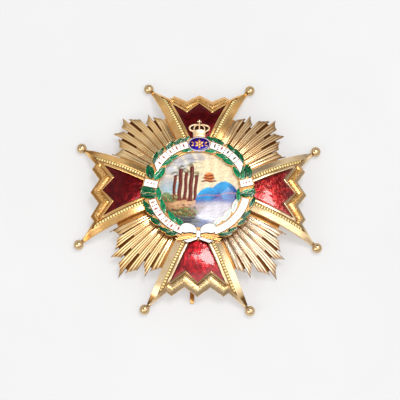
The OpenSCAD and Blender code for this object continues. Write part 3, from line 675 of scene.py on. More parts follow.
def make_arm(name, turn, enamel, gold, grain, crest_painted_shade, rim_painted_shade, bevel_painted_shade, tip_painted_shade):
    s = Shape()
    # bevels round the outside
    # Painted shade on the bevels, set per arm, darker towards the side bevels' tips
    arm_sheet(s, CREST_OUT, CREST_IN, steps(0, 4, 32) + steps(4.1, 5, 9), (0, 0.06, 0.3, 0.6, 0.9, 1),
              crest_bevel, painted_shade=lambda t, v, d: crest_painted_shade * (1 - smooth(t, 3.3, 4.4)))
    arm_sheet(s, SIDE_OUT, SIDE_IN, steps(0, 1, 40) + steps(1.1, 2, 9), (0, 0.05, 0.35, 0.7, 0.93, 1),
              side_bevel, painted_shade=lambda t, v, d: max(bevel_painted_shade, tip_painted_shade * smooth(t, 0.7, 1.3)))
    # strip of raised bars along the side, and the smooth rim beside the enamel
    bar_count = int(math.dist(*STRIP_OUT) / BAR_PITCH)
    arm_sheet(s, STRIP_OUT, STRIP_IN, steps(0, 1, BAR_STEPS * bar_count), [v for v, _ in BAR_ACROSS], bars,
              painted_shade=bar_painted_shade, mat_of=lambda i, j: 0 if BAR_ACROSS[j][0] < 0.12 else 4)
    # Painted shade: the rim darker where it sinks
    arm_sheet(s, STRIP_IN, RIM_IN, steps(0, 1, 48), (0, 0.06, 0.16, 0.5, 0.75, 0.92, 1), side_rim,
              painted_shade=lambda t, v, d: max(0.7 * smooth(d, 0.14, 0.26), 0.3 * rim_painted_shade))
    # matted zigzag band along the crest, with its smooth rim
    # Painted shade: the band darker in its low parts and on its rim
    arm_sheet(s, CREST_BAND_OUT, CREST_BAND_IN, steps(0, 3, 36) + steps(3.12, 4, 7), CREST_ACROSS,
              crest_profile,
              painted_shade=lambda t, v, d: max(0.9 * smooth(d, 0.26, 0.46), rim_painted_shade * smooth(v, 0.66, 0.7)),
              mat_of=lambda i, j: 1 if CREST_ACROSS[j] < 0.69 else 0)
    # plate under the wreath
    arm_sheet(s, [(0, ARM_IN_R), RIM_IN[0]], CELL_FOOT, steps(0, 1, 4), (0, 1), RIM_DROP)
    # walls down to the underside, and the underside
    # Painted shade: the outer walls darker towards the underside
    for line, edge in ((CREST_OUT, crest_edge), (SIDE_OUT, lambda t: BEVEL_EDGE_DROP)):
        arm_wall(s, line, 8, ((lambda t: edge(t) + EDGE_ROUND, 0.0), (ARM_T - 0.12, 0.25), (ARM_T, 0.25)))
    for line_a, line_b in ((CREST_OUT, CREST_IN), (SIDE_OUT, SIDE_IN), (STRIP_OUT, RIM_IN),
                           (CREST_BAND_OUT, CREST_BAND_IN)):
        stretches = len(line_a) - 1
        arm_sheet(s, line_a, line_b, steps(0, stretches, stretches * 6), (0, 0.5, 1), ARM_T, 2, False)
    for line_a, line_b in cell_patches(0):
        arm_sheet(s, line_a, line_b, steps(0, 1, 6), steps(0, 1, 6), ARM_T, 2, False)
    # walls of the recess round the enamel
    # Painted shade on the recess walls
    for line in ([CELL_TOOTH, CELL_NOTCH, CELL_CORNER], [CELL_CORNER, CELL_FOOT[1]]):
        arm_wall(s, line, 12, ((RIM_DROP, 0.6), (RECESS_DEPTH, 0.6)))
    # foot on the back plate
    half = FOOT_W / 2
    near = ARM_IN_R + 0.05
    far = near + FOOT_L
    ring = [(-half, near), (half, near), (half, far), (-half, far)]
    heights = (FAN_BOTTOM_Z, FAN_BOTTOM_Z + 0.1, DOME_Z - ARM_T)
    s.grid([[(x, y, z, 0.0) for x, y in ring] for z in heights], 2, closed=True)
    s.cap([(x, y, FAN_BOTTOM_Z) for x, y in ring], 2, False)
    for side in (1, -1):
        add_ball(s, side)
    s.build(name, [gold, grain, GOLD_BACK, BALL_GOLD, GOLD_BAR_LIT], 32, turn)
    make_arm_enamel(name.replace("arm_", "arm_enamel_"), turn, enamel)


def add_ball(s, side):
    """A ball with its collared neck, between the arm's tip and the surface."""
    center = Vector((side * BALL_SPREAD, BALL_REACH, BALL_D / 2))
    tip_x, tip_y = toward(BALL, KNEE, TIP_GAP)
    tip = Vector((side * tip_x, tip_y, dome(TIP_R) - ARM_T / 2 + 0.02))
    turn = (center - tip).normalized().to_track_quat("Z", "Y").to_matrix()
    radius = BALL_D / 2
    neck = NECK_D / 2
    # distances from the tip, and radii
    profile = [(-1.0, 0.42), (-0.12, neck * 0.98), (-0.1, neck * 1.12), (0.06, neck * 1.12),
               (0.1, neck * 0.8), (0.22, neck * 0.72), (0.3, neck * 0.82)]
    start = math.asin(neck * 0.82 / radius)
    for i in range(27):
        a = start + (math.pi - start) * i / 26
        profile.append((TIP_GAP - radius * math.cos(a), radius * math.sin(a)))
    rows = []
    for h, r in profile:
        row = []
        # Painted shade round the neck and its collar
        dark = 0.85 * (1 - smooth(abs(h - 0.2), 0.1, 0.35))
        for j in range(32):
            a = 2 * math.pi * j / 32
            p = tip + turn @ Vector((r * math.cos(a), r * math.sin(a), h))
            row.append((p.x, p.y, max(p.z, 0.0), dark))
        rows.append(row)
    s.grid(rows, 3, closed=True)


def cell_patches(inset):
    """Pairs of lines that cover the right half of the enamel's cell."""
    side = SIDE_BORDER_W + inset
    notch = (CELL_NOTCH[0], CELL_NOTCH[1] - inset)
    middle = (0, notch[1])
    edge = (side_x(notch[1], side), notch[1])
    top = (0, CELL_TOOTH[1] - inset * 1.3)
    far_y = CELL_CORNER[1] - inset * 3
    far = (side_x(far_y, side), far_y)
    foot = (side_x(CELL_FOOT_Y, side), CELL_FOOT_Y)
    return (([CELL_FOOT[0], middle], [foot, edge]), ([middle, notch], [top, notch]),
            ([notch, edge], [notch, far]))


def make_arm_enamel(name, turn, material):
    s = Shape()
    inset = 0.05
    low, high = RECESS_DEPTH - 0.05, 0.28
    edge_w = 0.9
    crest_run = (CELL_TOOTH[1] - CELL_NOTCH[1]) / CELL_NOTCH[0]

    def pillow(x, y):
        """How far a place is from the cell's edge, from 0 to 1."""
        gap = side_x(y, SIDE_BORDER_W) - abs(x)
        top = CELL_TOOTH[1] - abs(x) * crest_run
        if abs(x) > CELL_NOTCH[0]:
            top = CELL_NOTCH[1] + (abs(x) - CELL_NOTCH[0]) * 0.735
        return min(1.0, max(0.0, min(gap, (top - y) * 0.75) / edge_w))

    patches = cell_patches(inset)
    for line_a, line_b in patches:
        def face(t, v):
            (ax, ay), (bx, by) = along(line_a, t), along(line_b, t)
            x, y = lerp(ax, bx, v), lerp(ay, by, v)
            sag = 0.15 * (x / (side_x(y, SIDE_BORDER_W) + 0.2)) ** 2
            return high + 0.1 * (1 - smooth(pillow(x, y), 0, 1)) + sag

        # Painted shade: the enamel darker where it sinks to the cell's edge, and on its walls
        arm_sheet(s, line_a, line_b, steps(0, 1, 30), steps(0, 1, 24), face,
                  painted_shade=lambda t, v, d: 0.8 * smooth(d, high + 0.15, high + 0.25))
        arm_sheet(s, line_a, line_b, steps(0, 1, 6), (0, 0.5, 1), low, up=False)
    (_, foot_side), (_, top_line), (_, far_line) = patches
    outline = [*top_line, far_line[1], foot_side[0], CELL_FOOT[0]]
    arm_wall(s, outline, 16, ((high + 0.15, 0.8), (low, 0.8)))
    s.build(name, [material], 40, turn)


# Fans of rays

FAN_TURN = 45 - ARM_DEGREES

# Cross-section of a ray: the share of its width, the drop, the painted shade, and the ridge it shifts with
RIDGES = [(0, 0.5, 1, 3), (0.035, 0.24, 0.9, 3), (0.06, 0.17, 0.1, 3), (0.17, 0.02, 0, 0),
          (0.29, 0.17, 0.05, 0), (0.315, 0.25, 1, 0), (0.36, 0.25, 1, 0), (0.385, 0.17, 0.05, 0),
          (0.5, 0.02, 0, 1), (0.62, 0.17, 0.05, 1), (0.645, 0.25, 1, 1), (0.69, 0.25, 1, 1),
          (0.715, 0.17, 0.05, 1), (0.83, 0.02, 0, 2), (0.94, 0.17, 0.1, 3), (0.965, 0.24, 0.9, 3),
          (1, 0.5, 1, 3)]
RIDGE_COUNT = 3
RAY_STEPS = 26
RIDGE_DEPTH = [(14, 0.15), (22, 0.3), (34, 1), (40, 1.1)]
# Painted shade of the grooves, growing with the radius
RIDGE_PAINTED_SHADE = [(14, 0.35), (22, 0.6), (30, 1)]

# Ground between the rays and beside the arms: the drop and the painted shade, across the ground
SLIT_GROUND = ((0.45, 0.35), (0.6, 0.6), (0.45, 0.35))
SIDE_GROUND = ((0.74, 0.2), (0.72, 0.1), (0.66, 0.0), (0.66, 0.0))
SIDE_GROUND_R = 29.5
SIDE_GROUND_T = 0.25
SLIT_FLOOR_DROP = FAN_T - 0.12
SLIT_END_GAP = 1.2


def arm_side_angle(r, gap):
    """Angle from the diagonal at which radius r meets the line beside an arm."""
    x, y = side_at_r(-gap, r)
    return 45 - math.degrees(math.atan2(x, y))


def make_fan(name, flip_x, flip_y, tone, gold):
    s = Shape()
    rng = random.Random(name)

    def place(r, degrees, drop, painted_shade=0.0):
        x, y = polar(r, 45 + degrees)
        return (-x if flip_x else x, -y if flip_y else y, dome(r) - FAN_DROP - drop, painted_shade)

    def sunk(row, painted_shade):
        return [(x, y, dome(math.hypot(x, y)) - FAN_DROP - (FAN_T - 0.02), painted_shade) for x, y, _, _ in row]

    for a0, r0, a1, r1, hollow, _ in RAYS:
        a0, a1 = a0 * FAN_TURN, a1 * FAN_TURN
        tip_a, tip_b = RAY_REACH * r0, RAY_REACH * r1
        width = abs(math.radians(a1 - a0)) * (tip_a + tip_b) / 2
        shifts = [rng.uniform(-0.02, 0.02) for _ in range(RIDGE_COUNT)] + [0]
        rows = []
        for i in range(RAY_STEPS + 1):
            row = []
            for share, drop, dark, ridge in RIDGES:
                share += shifts[ridge]
                end = lerp(tip_a, tip_b, share) - width * hollow * 4 * share * (1 - share)
                r = lerp(ARM_IN_R, end, i / RAY_STEPS)
                limit = arm_side_angle(r, FAN_GAP)
                angle = min(max(lerp(a0, a1, share), -limit), limit)
                # Painted shade in the grooves, set per fan by tone, and towards the ray's tip
                painted_shade = max(tone * dark * table(r, RIDGE_PAINTED_SHADE), 0.6 * smooth(i / RAY_STEPS, 0.86, 1.0))
                row.append(place(r, angle, drop * table(r, RIDGE_DEPTH), painted_shade))
            rows.append(row)
        s.grid(rows, 0, True)
        # Painted shade on the walls, the end and the underside
        for column in (0, -1):
            wall = [row[column] for row in rows]
            s.grid([wall, sunk(wall, 0.7)])
        s.grid([rows[-1], sunk(rows[-1], 0.3)])
        s.grid([sunk(row, 0.2) for row in rows], 1, False)
    # ground between the rays up to where each slit starts, and a dark floor under each slit that paints the
    # shade seen through it
    for ray, after in zip(RAYS, RAYS[1:]):
        a0, a1, slit = ray[2] * FAN_TURN, after[0] * FAN_TURN, ray[5]
        angles = (a0 - 0.05, (a0 + a1) / 2, a1 + 0.05)
        s.grid([[place(r, a, *ground) for a, ground in zip(angles, SLIT_GROUND)]
                for r in steps(ARM_IN_R, slit, 12)], 0, True)
        end = RAY_REACH * min(ray[3], after[1]) - SLIT_END_GAP
        s.grid([[place(r, a, SLIT_FLOOR_DROP, 1.0) for a in angles]
                for r in steps(slit - 0.3, end, 8)], 2, True)
    # ground beside the arms
    for side in (-1, 1):
        rows = []
        for r in steps(ARM_IN_R, SIDE_GROUND_R, 16):
            inner = arm_side_angle(r, FAN_GAP)
            angles = (inner - 1.2, inner, arm_side_angle(r, 0.1), arm_side_angle(r, -0.75))
            rows.append([place(r, side * a, *ground) for a, ground in zip(angles, SIDE_GROUND)])
        low = [[(x, y, z - SIDE_GROUND_T, 0.0) for x, y, z, _ in row] for row in rows]
        # The bottom fans' ground beside the arms takes the dark ground gold: painted shade
        s.grid(rows, 2 if flip_y else 0, True)
        s.grid(low, 1, False)
        s.grid([rows[-1], low[-1]])
        s.grid([[row[-1] for row in rows], [row[-1] for row in low]])
    s.build(name, [gold, GOLD_BACK, GOLD_SHADED_GROUND], 12)


# Wreath

LEAF_STEPS = 16
LEAF_ACROSS = (-1, -0.94, -0.88, -0.45, -0.08, 0, 0.08, 0.45, 0.88, 0.94, 1)
GLARE_ARC = (270, 334)


def make_leaf(s, x, y, angle, length, width, z, mat):
    """A pointed leaf with a folded middle vein painted in shade, side veins and a thin gold edge."""
    c, d = polar(1, angle)
    radius = (length ** 2 + width ** 2) / (4 * width)
    rows = []
    for i in range(LEAF_STEPS + 1):
        u = (i / LEAF_STEPS * 2 - 1) * length / 2
        half = max(math.sqrt(max(0.0, radius ** 2 - u ** 2)) - (radius - width / 2), 0.0)
        row = []
        for v in LEAF_ACROSS:
            swell = (1 - abs(v) ** 2) * (1 - (2 * u / length) ** 2)
            vein = 1 - smooth(abs(v), 0.0, 0.12)
            rib = 0.5 + 0.5 * math.sin((u / length * 5 + abs(v) * 1.3) * math.pi * 2)
            rib *= 1 - smooth(abs(v), 0.8, 0.95)
            h = LEAF_T * (0.55 + 0.45 * swell) - 0.1 * vein - 0.03 * rib
            if abs(v) > 0.9:
                h = LEAF_T * 0.72
            if abs(v) == 1:
                h = 0.0
            px, py = x + c * u - d * v * half, y + d * u + c * v * half
            top = min(z + h, RIBBON_Z - 0.06) if covered(px, py) else z + h
            row.append((px, py, top, 0.8 * vein))
        rows.append(row)
    s.grid(rows, mat, True, mat_of=lambda i, j: 3 if j in (0, 1, 8, 9) else mat)


def under_oval(x, y, grow):
    return (x / (OVAL_L / 2 + grow)) ** 2 + ((y - OVAL_Y) / (OVAL_W / 2 + grow)) ** 2 < 1


def in_band(x, y):
    r = math.hypot(x, y)
    a = math.degrees(math.atan2(y, x)) % 360
    inside = RIBBON_IN - 0.1 < r < RIBBON_OUT + 0.1
    for first, last, tip in BANDS.values():
        far = lerp(last, tip, min(1.0, (RIBBON_OUT - r) / RIBBON_W))
        if inside and min(first, far) - 0.3 < a < max(first, far) + 0.3:
            return True
    return False


def in_cross(x, y):
    for angle, length, width, tilt in CROSSES.values():
        cx, cy = polar(RIBBON_R, angle)
        c, d = polar(1, angle + tilt)
        u = (x - cx) * c + (y - cy) * d
        v = -(x - cx) * d + (y - cy) * c
        if abs(u) < RIBBON_W * length / 2 + 0.1 and abs(v) < RIBBON_W * width / 2 + 0.1:
            return True
    return False


# Box round the bow: half its width, and its lower and upper end
BOW_BOX = (5.5, -19.2, -13.5)


def covered(x, y):
    """Whether a ribbon, the bow or the plaque lies over a place."""
    half, low, high = BOW_BOX
    in_bow = abs(x) < half and low < y < high
    return in_band(x, y) or in_cross(x, y) or in_bow or under_oval(x, y, 0.05)


def make_laurel(name):
    s = Shape()
    rng = random.Random(name)
    first, last = STEMS[name]
    # thin stems on both sides of the ribbon, with a rounded top and a light painted shade
    for inner, outer in ((RIBBON_IN - STEM_W, RIBBON_IN - 0.02), (RIBBON_OUT + 0.02, RIBBON_OUT + STEM_W)):
        rows = []
        for a in steps(first, last, int(abs(last - first) * 1.2)):
            middle = (inner + outer) / 2 + 0.1 * math.sin(a * 0.9)
            rows.append([(*polar(middle + share * 0.22, a), STEM_Z + h, 0.3)
                         for share, h in ((-1, 0.0), (-0.7, 0.1), (0, 0.15), (0.7, 0.1), (1, 0.0))])
        s.grid(rows, 2, True)
    for number, (angle, edge, beyond, length, width, lean) in enumerate(LEAVES[name]):
        x, y = polar(RIBBON_R + edge * (RIBBON_W / 2 + LEAF_W * beyond), angle)
        mat = 1 if edge < 0 or (beyond < 0.5 and rng.random() < 0.3) else 0
        # Inner leaves in this arc take the near-white enamel: painted glare
        if edge < 0 and GLARE_ARC[0] < angle < GLARE_ARC[1]:
            mat = 4
        make_leaf(s, x, y, angle + 90 + lean, LEAF_L * length * 1.12 + 0.3, LEAF_W * width * 1.15 + 0.3,
                  STEM_Z + (number % 3) * 0.04, mat)
    s.build(name, [LEAF_DARK, LEAF_LIGHT, GOLD_BACK, GOLD, LEAF_GLARE], 50)


# Ribbons

RIBBON_PROFILE = [(0, 0.0), (0.008, 0.18), (0.025, 0.24), (0.045, 0.19), (0.09, 0.24), (0.3, 0.29),
                  (0.5, 0.3), (0.7, 0.29), (0.91, 0.24), (0.955, 0.19), (0.975, 0.24), (0.992, 0.18),
                  (1, 0.0)]
RIM_CELLS = (0, 1, 2, 9, 10, 11)
MARK_Z = RIBBON_Z + RIBBON_T
MARK_PITCH = 4.4
MARK_BREAK = 6.5

# Length and width of the ribbon's marks, and the dots' distance from its middle
MARK_LARGE = (1.8, 1.25)
MARK_SMALL = (0.75, 0.9)
MARK_DOT = (0.7, 0.75)
DOT_OUT = 0.66


def add_lozenge(s, x, y, angle, length, width, z, mat):
    """A tiny raised lozenge, four facets round a low point."""
    c, d = polar(1, angle)
    ring = [s.point(x + c * u - d * v, y + d * u + c * v, z - 0.02)
            for u, v in ((length / 2, 0), (0, width / 2), (-length / 2, 0), (0, -width / 2))]
    top = s.point(x, y, z + 0.02)
    for i in range(4):
        s.face((ring[i], ring[(i + 1) % 4], top), mat, True)


def make_band(name):
    s = Shape()
    first, last, tip = BANDS[name]
    count = int(abs(last - first) * 1.5)
    rows = []
    for i in range(count + 1):
        from_end = min(i, count - i)
        fall = (0.0, 0.86, 1.0)[min(from_end, 2)]
        row = []
        for v, h in RIBBON_PROFILE:
            x, y = polar(RIBBON_R + RIBBON_W * (0.5 - v), lerp(first, lerp(last, tip, v), i / count))
            if under_oval(x, y, 0.1):
                h = min(h, 0.0)
            row.append((x, y, RIBBON_Z + h * fall, 0.0))
        rows.append(row)
    s.grid(rows, 0, True, mat_of=lambda i, j: 1 if j in RIM_CELLS or i in (0, count - 1) else 0)
    s.grid([[(x, y, RIBBON_Z, 0.0) for x, y, _, _ in (row[0], row[-1])] for row in rows], 1, False)
    add_marks(s, name, first, last)
    s.build(name, [WHITE, EDGE_GOLD, MARK_BROWN, MARK_RED, MARK_GOLD, MARK_GLARE])


def add_marks(s, name, first, last):
    """Lozenges and pairs of dots along the middle of a ribbon, in groups of six."""
    rng = random.Random(name + "marks")
    direction = 1 if last > first else -1
    # The bottom right ribbon's marks are pale: painted glare
    mats = {"ribbon_top_right": (2, 2, 3), "ribbon_bottom_right": (5, 5, 5)}.get(name, (3, 4, 3))
    a = first + direction * 6
    number = 0
    while abs(a - first) < abs(last - first) - 3:
        mat = mats[number % 3]
        x, y = polar(RIBBON_R + rng.uniform(-0.1, 0.1), a)
        if number % 2 == 0:
            add_lozenge(s, x, y, a, *MARK_LARGE, MARK_Z, mat)
        else:
            add_lozenge(s, x, y, a, *MARK_SMALL, MARK_Z, mat)
            for out in (DOT_OUT, -DOT_OUT):
                add_lozenge(s, *polar(RIBBON_R + out, a), a, *MARK_DOT, MARK_Z - 0.015, mat)
        a += direction * (MARK_BREAK if number % 6 == 5 else MARK_PITCH)
        number += 1


def make_cross(name):
    s = Shape()
    angle, length, width, tilt = CROSSES[name]
    cx, cy = polar(RIBBON_R, angle)
    c, d = polar(1, angle + tilt)
    half_l, half_w = RIBBON_W * length / 2, RIBBON_W * width / 2
    rows = []
    for share_u, height_u in RIBBON_PROFILE:
        row = []
        for share_v, height_v in RIBBON_PROFILE:
            u = (share_u - 0.5) * 2 * half_l
            v = (share_v - 0.5) * 2 * half_w
            row.append((cx + u * c - v * d, cy + u * d + v * c, RIBBON_Z + min(height_u, height_v), 0.0))
        rows.append(row)
    s.grid(rows, 0, True, mat_of=lambda i, j: 1 if i in RIM_CELLS or j in RIM_CELLS else 0)
    for share, tall in ((-0.42, 0.6), (-0.02, 1.4), (0.4, 0.6)):
        add_lozenge(s, cx + share * half_l * c, cy + share * half_l * d, angle + tilt + 90, tall, 0.8,
                    MARK_Z, 3)
    s.build(name, [WHITE, EDGE_GOLD, MARK_BROWN, MARK_RED])


# Bow, crown and plaque. The tiny length keeps a division by nothing away.
TINY = 1e-9


def next_points(points):
    return points[1:] + points[:1]


def inset_loop(loop, distance):
    """A closed outline moved in by a distance, along each corner's bisector."""
    result = []
    for (x0, y0), (x1, y1), (x2, y2) in zip(loop[-1:] + loop[:-1], loop, next_points(loop)):
        ax, ay = x1 - x0, y1 - y0
        bx, by = x2 - x1, y2 - y1
        la, lb = math.hypot(ax, ay) or TINY, math.hypot(bx, by) or TINY
        nx, ny = -ay / la - by / lb, ax / la + bx / lb
        ln = math.hypot(nx, ny) or TINY
        k = distance / max(0.35, ln / 2)
        result.append((x1 + nx / ln * k, y1 + ny / ln * k))
    return result


def add_pillow(s, loop, z, height, rim=0.1, rim_mat=0, rim_rows=3):
    """A closed form on an outline (counter-clockwise): an edge, then a swelling face."""
    rows = []
    for inset, share in ((0, 0.0), (0, 0.6), (rim * 0.4, 0.86), (rim, 0.66), (rim * 1.6, 0.8)):
        ring = inset_loop(loop, inset) if inset else loop
        rows.append([(x, y, z + height * share, 0.0) for x, y in ring])
    cx, cy = (sum(p[k] for p in ring) / len(ring) for k in (0, 1))
    for share in (0.8, 0.55, 0.3, 0.12, 0.0):
        top = z + height * (0.8 + 0.2 * (1 - share ** 2))
        rows.append([(lerp(cx, x, share), lerp(cy, y, share), top, 0.0) for x, y in ring])
    s.grid(rows, 0, None, True, mat_of=lambda i, j: rim_mat if i < rim_rows else 0)


def leaf_loop(cx, cy, angle, length, width):
    """Outline of a small pointed leaf."""
    c, d = polar(1, angle)
    radius = (length ** 2 + width ** 2) / (4 * width)
    upper = [(u, max(0.0, math.sqrt(radius ** 2 - u ** 2) - (radius - width / 2)))
             for u in [(1 - i / 12 * 2) * length / 2 for i in range(13)]]
    lower = [(u, -h) for u, h in reversed(upper[1:-1])]
    return [(cx + c * u - d * v, cy + d * u + c * v) for u, v in upper + lower]


def add_tube(s, points, radii, mat, sides=10, squash=1.0):
    """A bar through points, with a radius at each."""
    rows = []
    for i, (p, r) in enumerate(zip(points, radii)):
        before = Vector(points[max(0, i - 1)])
        after = Vector(points[min(len(points) - 1, i + 1)])
        axis = (after - before).normalized()
        side = axis.cross(Vector((0, 0, 1))).normalized()
        rise = side.cross(axis)
        row = []
        for k in range(sides):
            a = 2 * math.pi * k / sides
            q = Vector(p) + side * (r * math.cos(a)) + rise * (r * math.sin(a) * squash)
            row.append((q.x, q.y, q.z, 0.0))
        rows.append(row)
    s.grid(rows, mat, None, True)
    for row in (rows[0], rows[-1]):
        s.cap(row, mat)


def add_bead(s, x, y, z, r, sides):
    rows = []
    for i in range(7):
        a = math.pi * (0.02 + 0.96 * i / 6)
        rows.append([(x + r * math.sin(a) * math.cos(2 * math.pi * k / sides),
                      y + r * math.sin(a) * math.sin(2 * math.pi * k / sides),
                      z + r * math.cos(a), 0.0) for k in range(sides)])
    s.grid(rows, 0, None, True)


# Outlines of the bow's right side, in millimetres from the star's middle
BOW_LOOP = [(0.35, -15.0), (1.2, -13.5), (2.7, -12.6), (4.3, -12.4), (5.5, -12.9), (6.1, -13.9), (5.9, -15.2),
            (4.7, -16.1), (2.6, -15.9), (0.4, -16.3)]
BOW_FOLD = [(0.5, -15.1), (2.0, -14.5), (3.6, -14.4), (5.0, -14.9), (4.6, -16.0), (2.6, -15.9), (0.5, -16.2)]
BOW_TAIL = [(0.1, -17.1), (0.2, -18.3), (3.6, -19.6), (5.3, -18.6)]
BOW_STEMS = [[(0.6, -16.7), (3.2, -17.2), (7.6, -17.9)], [(0.8, -17.25), (3.4, -17.75), (7.2, -18.4)]]
KNOT_Y = -16.35
KNOT_W = 0.58 * RIBBON_W
KNOT_H = 0.98 * RIBBON_W


def rounded(points, fine=4):
    """A closed outline through points with its corners eased."""
    result = []
    n = len(points)
    for i in range(n):
        corners = [points[(i + k) % n] for k in (-1, 0, 1, 2)]
        for t in (k / fine for k in range(fine)):
            result.append(tuple(
                0.5 * (2 * b + (c - a) * t + (2 * a - 5 * b + 4 * c - d) * t * t
                       + (3 * b - a - 3 * c + d) * t ** 3)
                for a, b, c, d in zip(*corners)))
    return result


def dense(points, fine=8):
    """A closed outline with straight sides, cut into short stretches."""
    return [(lerp(x0, x1, k / fine), lerp(y0, y1, k / fine))
            for (x0, y0), (x1, y1) in zip(points, next_points(points)) for k in range(fine)]


def counter_clockwise(loop):
    area = sum(x0 * y1 - x1 * y0 for (x0, y0), (x1, y1) in zip(loop, next_points(loop)))
    return loop if area > 0 else loop[::-1]


def make_bow():
    s = Shape()
    for side in (-1, 1):
        for points, lift, height in ((BOW_LOOP, 0.0, 0.9), (BOW_FOLD, 0.09, 0.85)):
            loop = counter_clockwise(rounded([(side * x, y) for x, y in points]))
            add_pillow(s, loop, RIBBON_Z + lift * RIBBON_T, RIBBON_T * height, 0.1, 1, 4)
        tail = counter_clockwise(dense([(side * x, y) for x, y in BOW_TAIL]))
        add_pillow(s, tail, RIBBON_Z, RIBBON_T * 0.8, 0.12, 1, 4)
        for stem in BOW_STEMS:
            line = [along(stem, k / 4) for k in range(9)]
            add_tube(s, [(side * x, y, STEM_Z + 0.08) for x, y in line], [0.2] * 9, 2, 8, 0.8)
    knot = []
    for k in range(32):
        a = 2 * math.pi * k / 32
        knot.append((math.copysign(abs(math.cos(a)) ** 0.5, math.cos(a)) * KNOT_W / 2,
                     KNOT_Y + math.copysign(abs(math.sin(a)) ** 0.5, math.sin(a)) * KNOT_H / 2))
    add_pillow(s, knot, RIBBON_Z + 0.05, RIBBON_T * 1.1, 0.1, 1)
    s.build("ribbon_bow", [WHITE, DARK_GOLD, GOLD], 40)


OVAL_INSET = 0.21
OVAL_POWER = 2.25


def oval_ring(inset, share, z):
    """A ring of points inside the plaque's outline, which is slightly squarer than an ellipse."""
    ring = []
    for k in range(72):
        c, d = polar(1, k * 5)
        r = (abs(c) ** OVAL_POWER + abs(d) ** OVAL_POWER) ** (-1 / OVAL_POWER)
        ring.append((r * c * (OVAL_L / 2 - inset) * share, OVAL_Y + r * d * (OVAL_W / 2 - inset) * share,
                     z, 0.0))
    return ring


def make_oval():
    rim = Shape()
    top = STEM_Z + OVAL_RIM_H
    rim.grid([oval_ring(inset, 1, z) for inset, z in (
        (0.0, STEM_Z), (0.0, top - 0.12), (0.04, top - 0.03), (0.1, top), (0.17, top - 0.05),
        (0.2, top - 0.12), (0.2, OVAL_ENAMEL_Z))], 0, None, True)
    rim.build("oval_rim", [LILAC], 50, normals=True)
    enamel = Shape()
    rows = [oval_ring(OVAL_INSET, share, OVAL_ENAMEL_Z + OVAL_ENAMEL_T * lift) for share, lift in (
        (1.0, 0.0), (1.0, 0.5), (0.96, 0.72), (0.85, 0.86), (0.65, 0.95), (0.4, 1.0), (0.15, 1.0))]
    enamel.grid(rows, 0, None, True)
    enamel.cap(rows[-1], 0, True)
    enamel.cap(rows[0], 0, False)
    enamel.build("oval_enamel", [BLUE], 60)


def make_rosette():
    """Six petals round a hub, with two small leaves on each side."""
    s = Shape()
    z = OVAL_ENAMEL_Z + OVAL_ENAMEL_T
    for a in range(30, 390, 60):
        cx, cy = polar(0.2 * OVAL_W, a)
        add_pillow(s, leaf_loop(cx, OVAL_Y + cy, a, OVAL_W * 0.27, OVAL_W * 0.16), z, 0.16, 0.04)
    hub = [polar(0.09 * OVAL_W, k * 15) for k in range(24)]
    add_pillow(s, [(x, OVAL_Y + y) for x, y in hub], z, 0.22, 0.05)
    for side in (-1, 1):
        for tilt in (-24, 24):
            y = OVAL_Y + math.copysign(0.1 * OVAL_W, tilt)
            loop = leaf_loop(side * 0.45 * OVAL_W, y, side * tilt, OVAL_W * 0.26, OVAL_W * 0.11)
            add_pillow(s, loop, z - 0.06, 0.16, 0.04)
    s.build("oval_rosette", [EDGE_GOLD], 40)


# Crown. The band's outline: the share of its height, the half width and the bulge
BAND_OUTLINE = ((0.0, 2.1, 0.72), (0.06, 2.14, 0.86), (0.3, 2.1, 0.8), (0.55, 2.12, 0.8),
                (0.8, 2.22, 0.82), (1.0, 2.4, 0.88), (1.04, 2.42, 0.7))
BROW = 2.1

# Arches: the bar's radius, the lift, and points from the centre line and above the brow
ARCHES = (
    (0.33, 0.3, [(2.1, -0.2), (2.7, 0.1), (3.15, 0.5), (3.35, 1.05), (3.1, 1.6), (2.5, 1.95), (1.7, 2.2),
                 (0.85, 2.3), (0.0, 2.2)]),
    (0.27, 0.44, [(1.75, -0.1), (1.8, 0.45), (1.72, 1.0), (1.5, 1.5), (1.15, 1.9), (0.6, 2.15), (0.0, 2.2)]),
    (0.27, 0.56, [(0.0, 0.0), (0.0, 0.6), (0.0, 1.2), (0.0, 1.7), (0.0, 2.2)]))
# Outline of the sheet of painted shade under the arches
SHADE_SHEET_OUTLINE = [(2.2, -0.1), (3.0, 0.5), (3.1, 1.05), (2.4, 1.8), (1.2, 2.1)]


def add_crown_band(s):
    """A band with a swelling face that widens to the brow."""
    rows = []
    for share, half, bulge in BAND_OUTLINE:
        row = []
        for k in range(21):
            a = (k / 10 - 1) * math.pi / 2
            lift = (CROWN_T - 0.12) * math.cos(a) ** 0.8 * bulge if 0 < k < 20 else 0.0
            row.append((half * math.sin(a), CROWN_Y - 0.1 + 2.05 * share + 0.35 * share * math.cos(a),
                        STEM_Z + 0.1 + lift, 0.0))
        rows.append(row)
    s.grid(rows, 0, True)
    # The band's walls, with painted shade at their foot
    ends = (rows[0], rows[-1], [row[0] for row in rows], [row[-1] for row in rows])
    for line in ends:
        s.grid([line, [(x, y, STEM_Z, 0.4) for x, y, _, _ in line]])
    for x in (-0.95, 0.95):
        add_lozenge(s, x, CROWN_Y + 0.75, 0, 1.1, 0.7, STEM_Z + 0.69, 1)


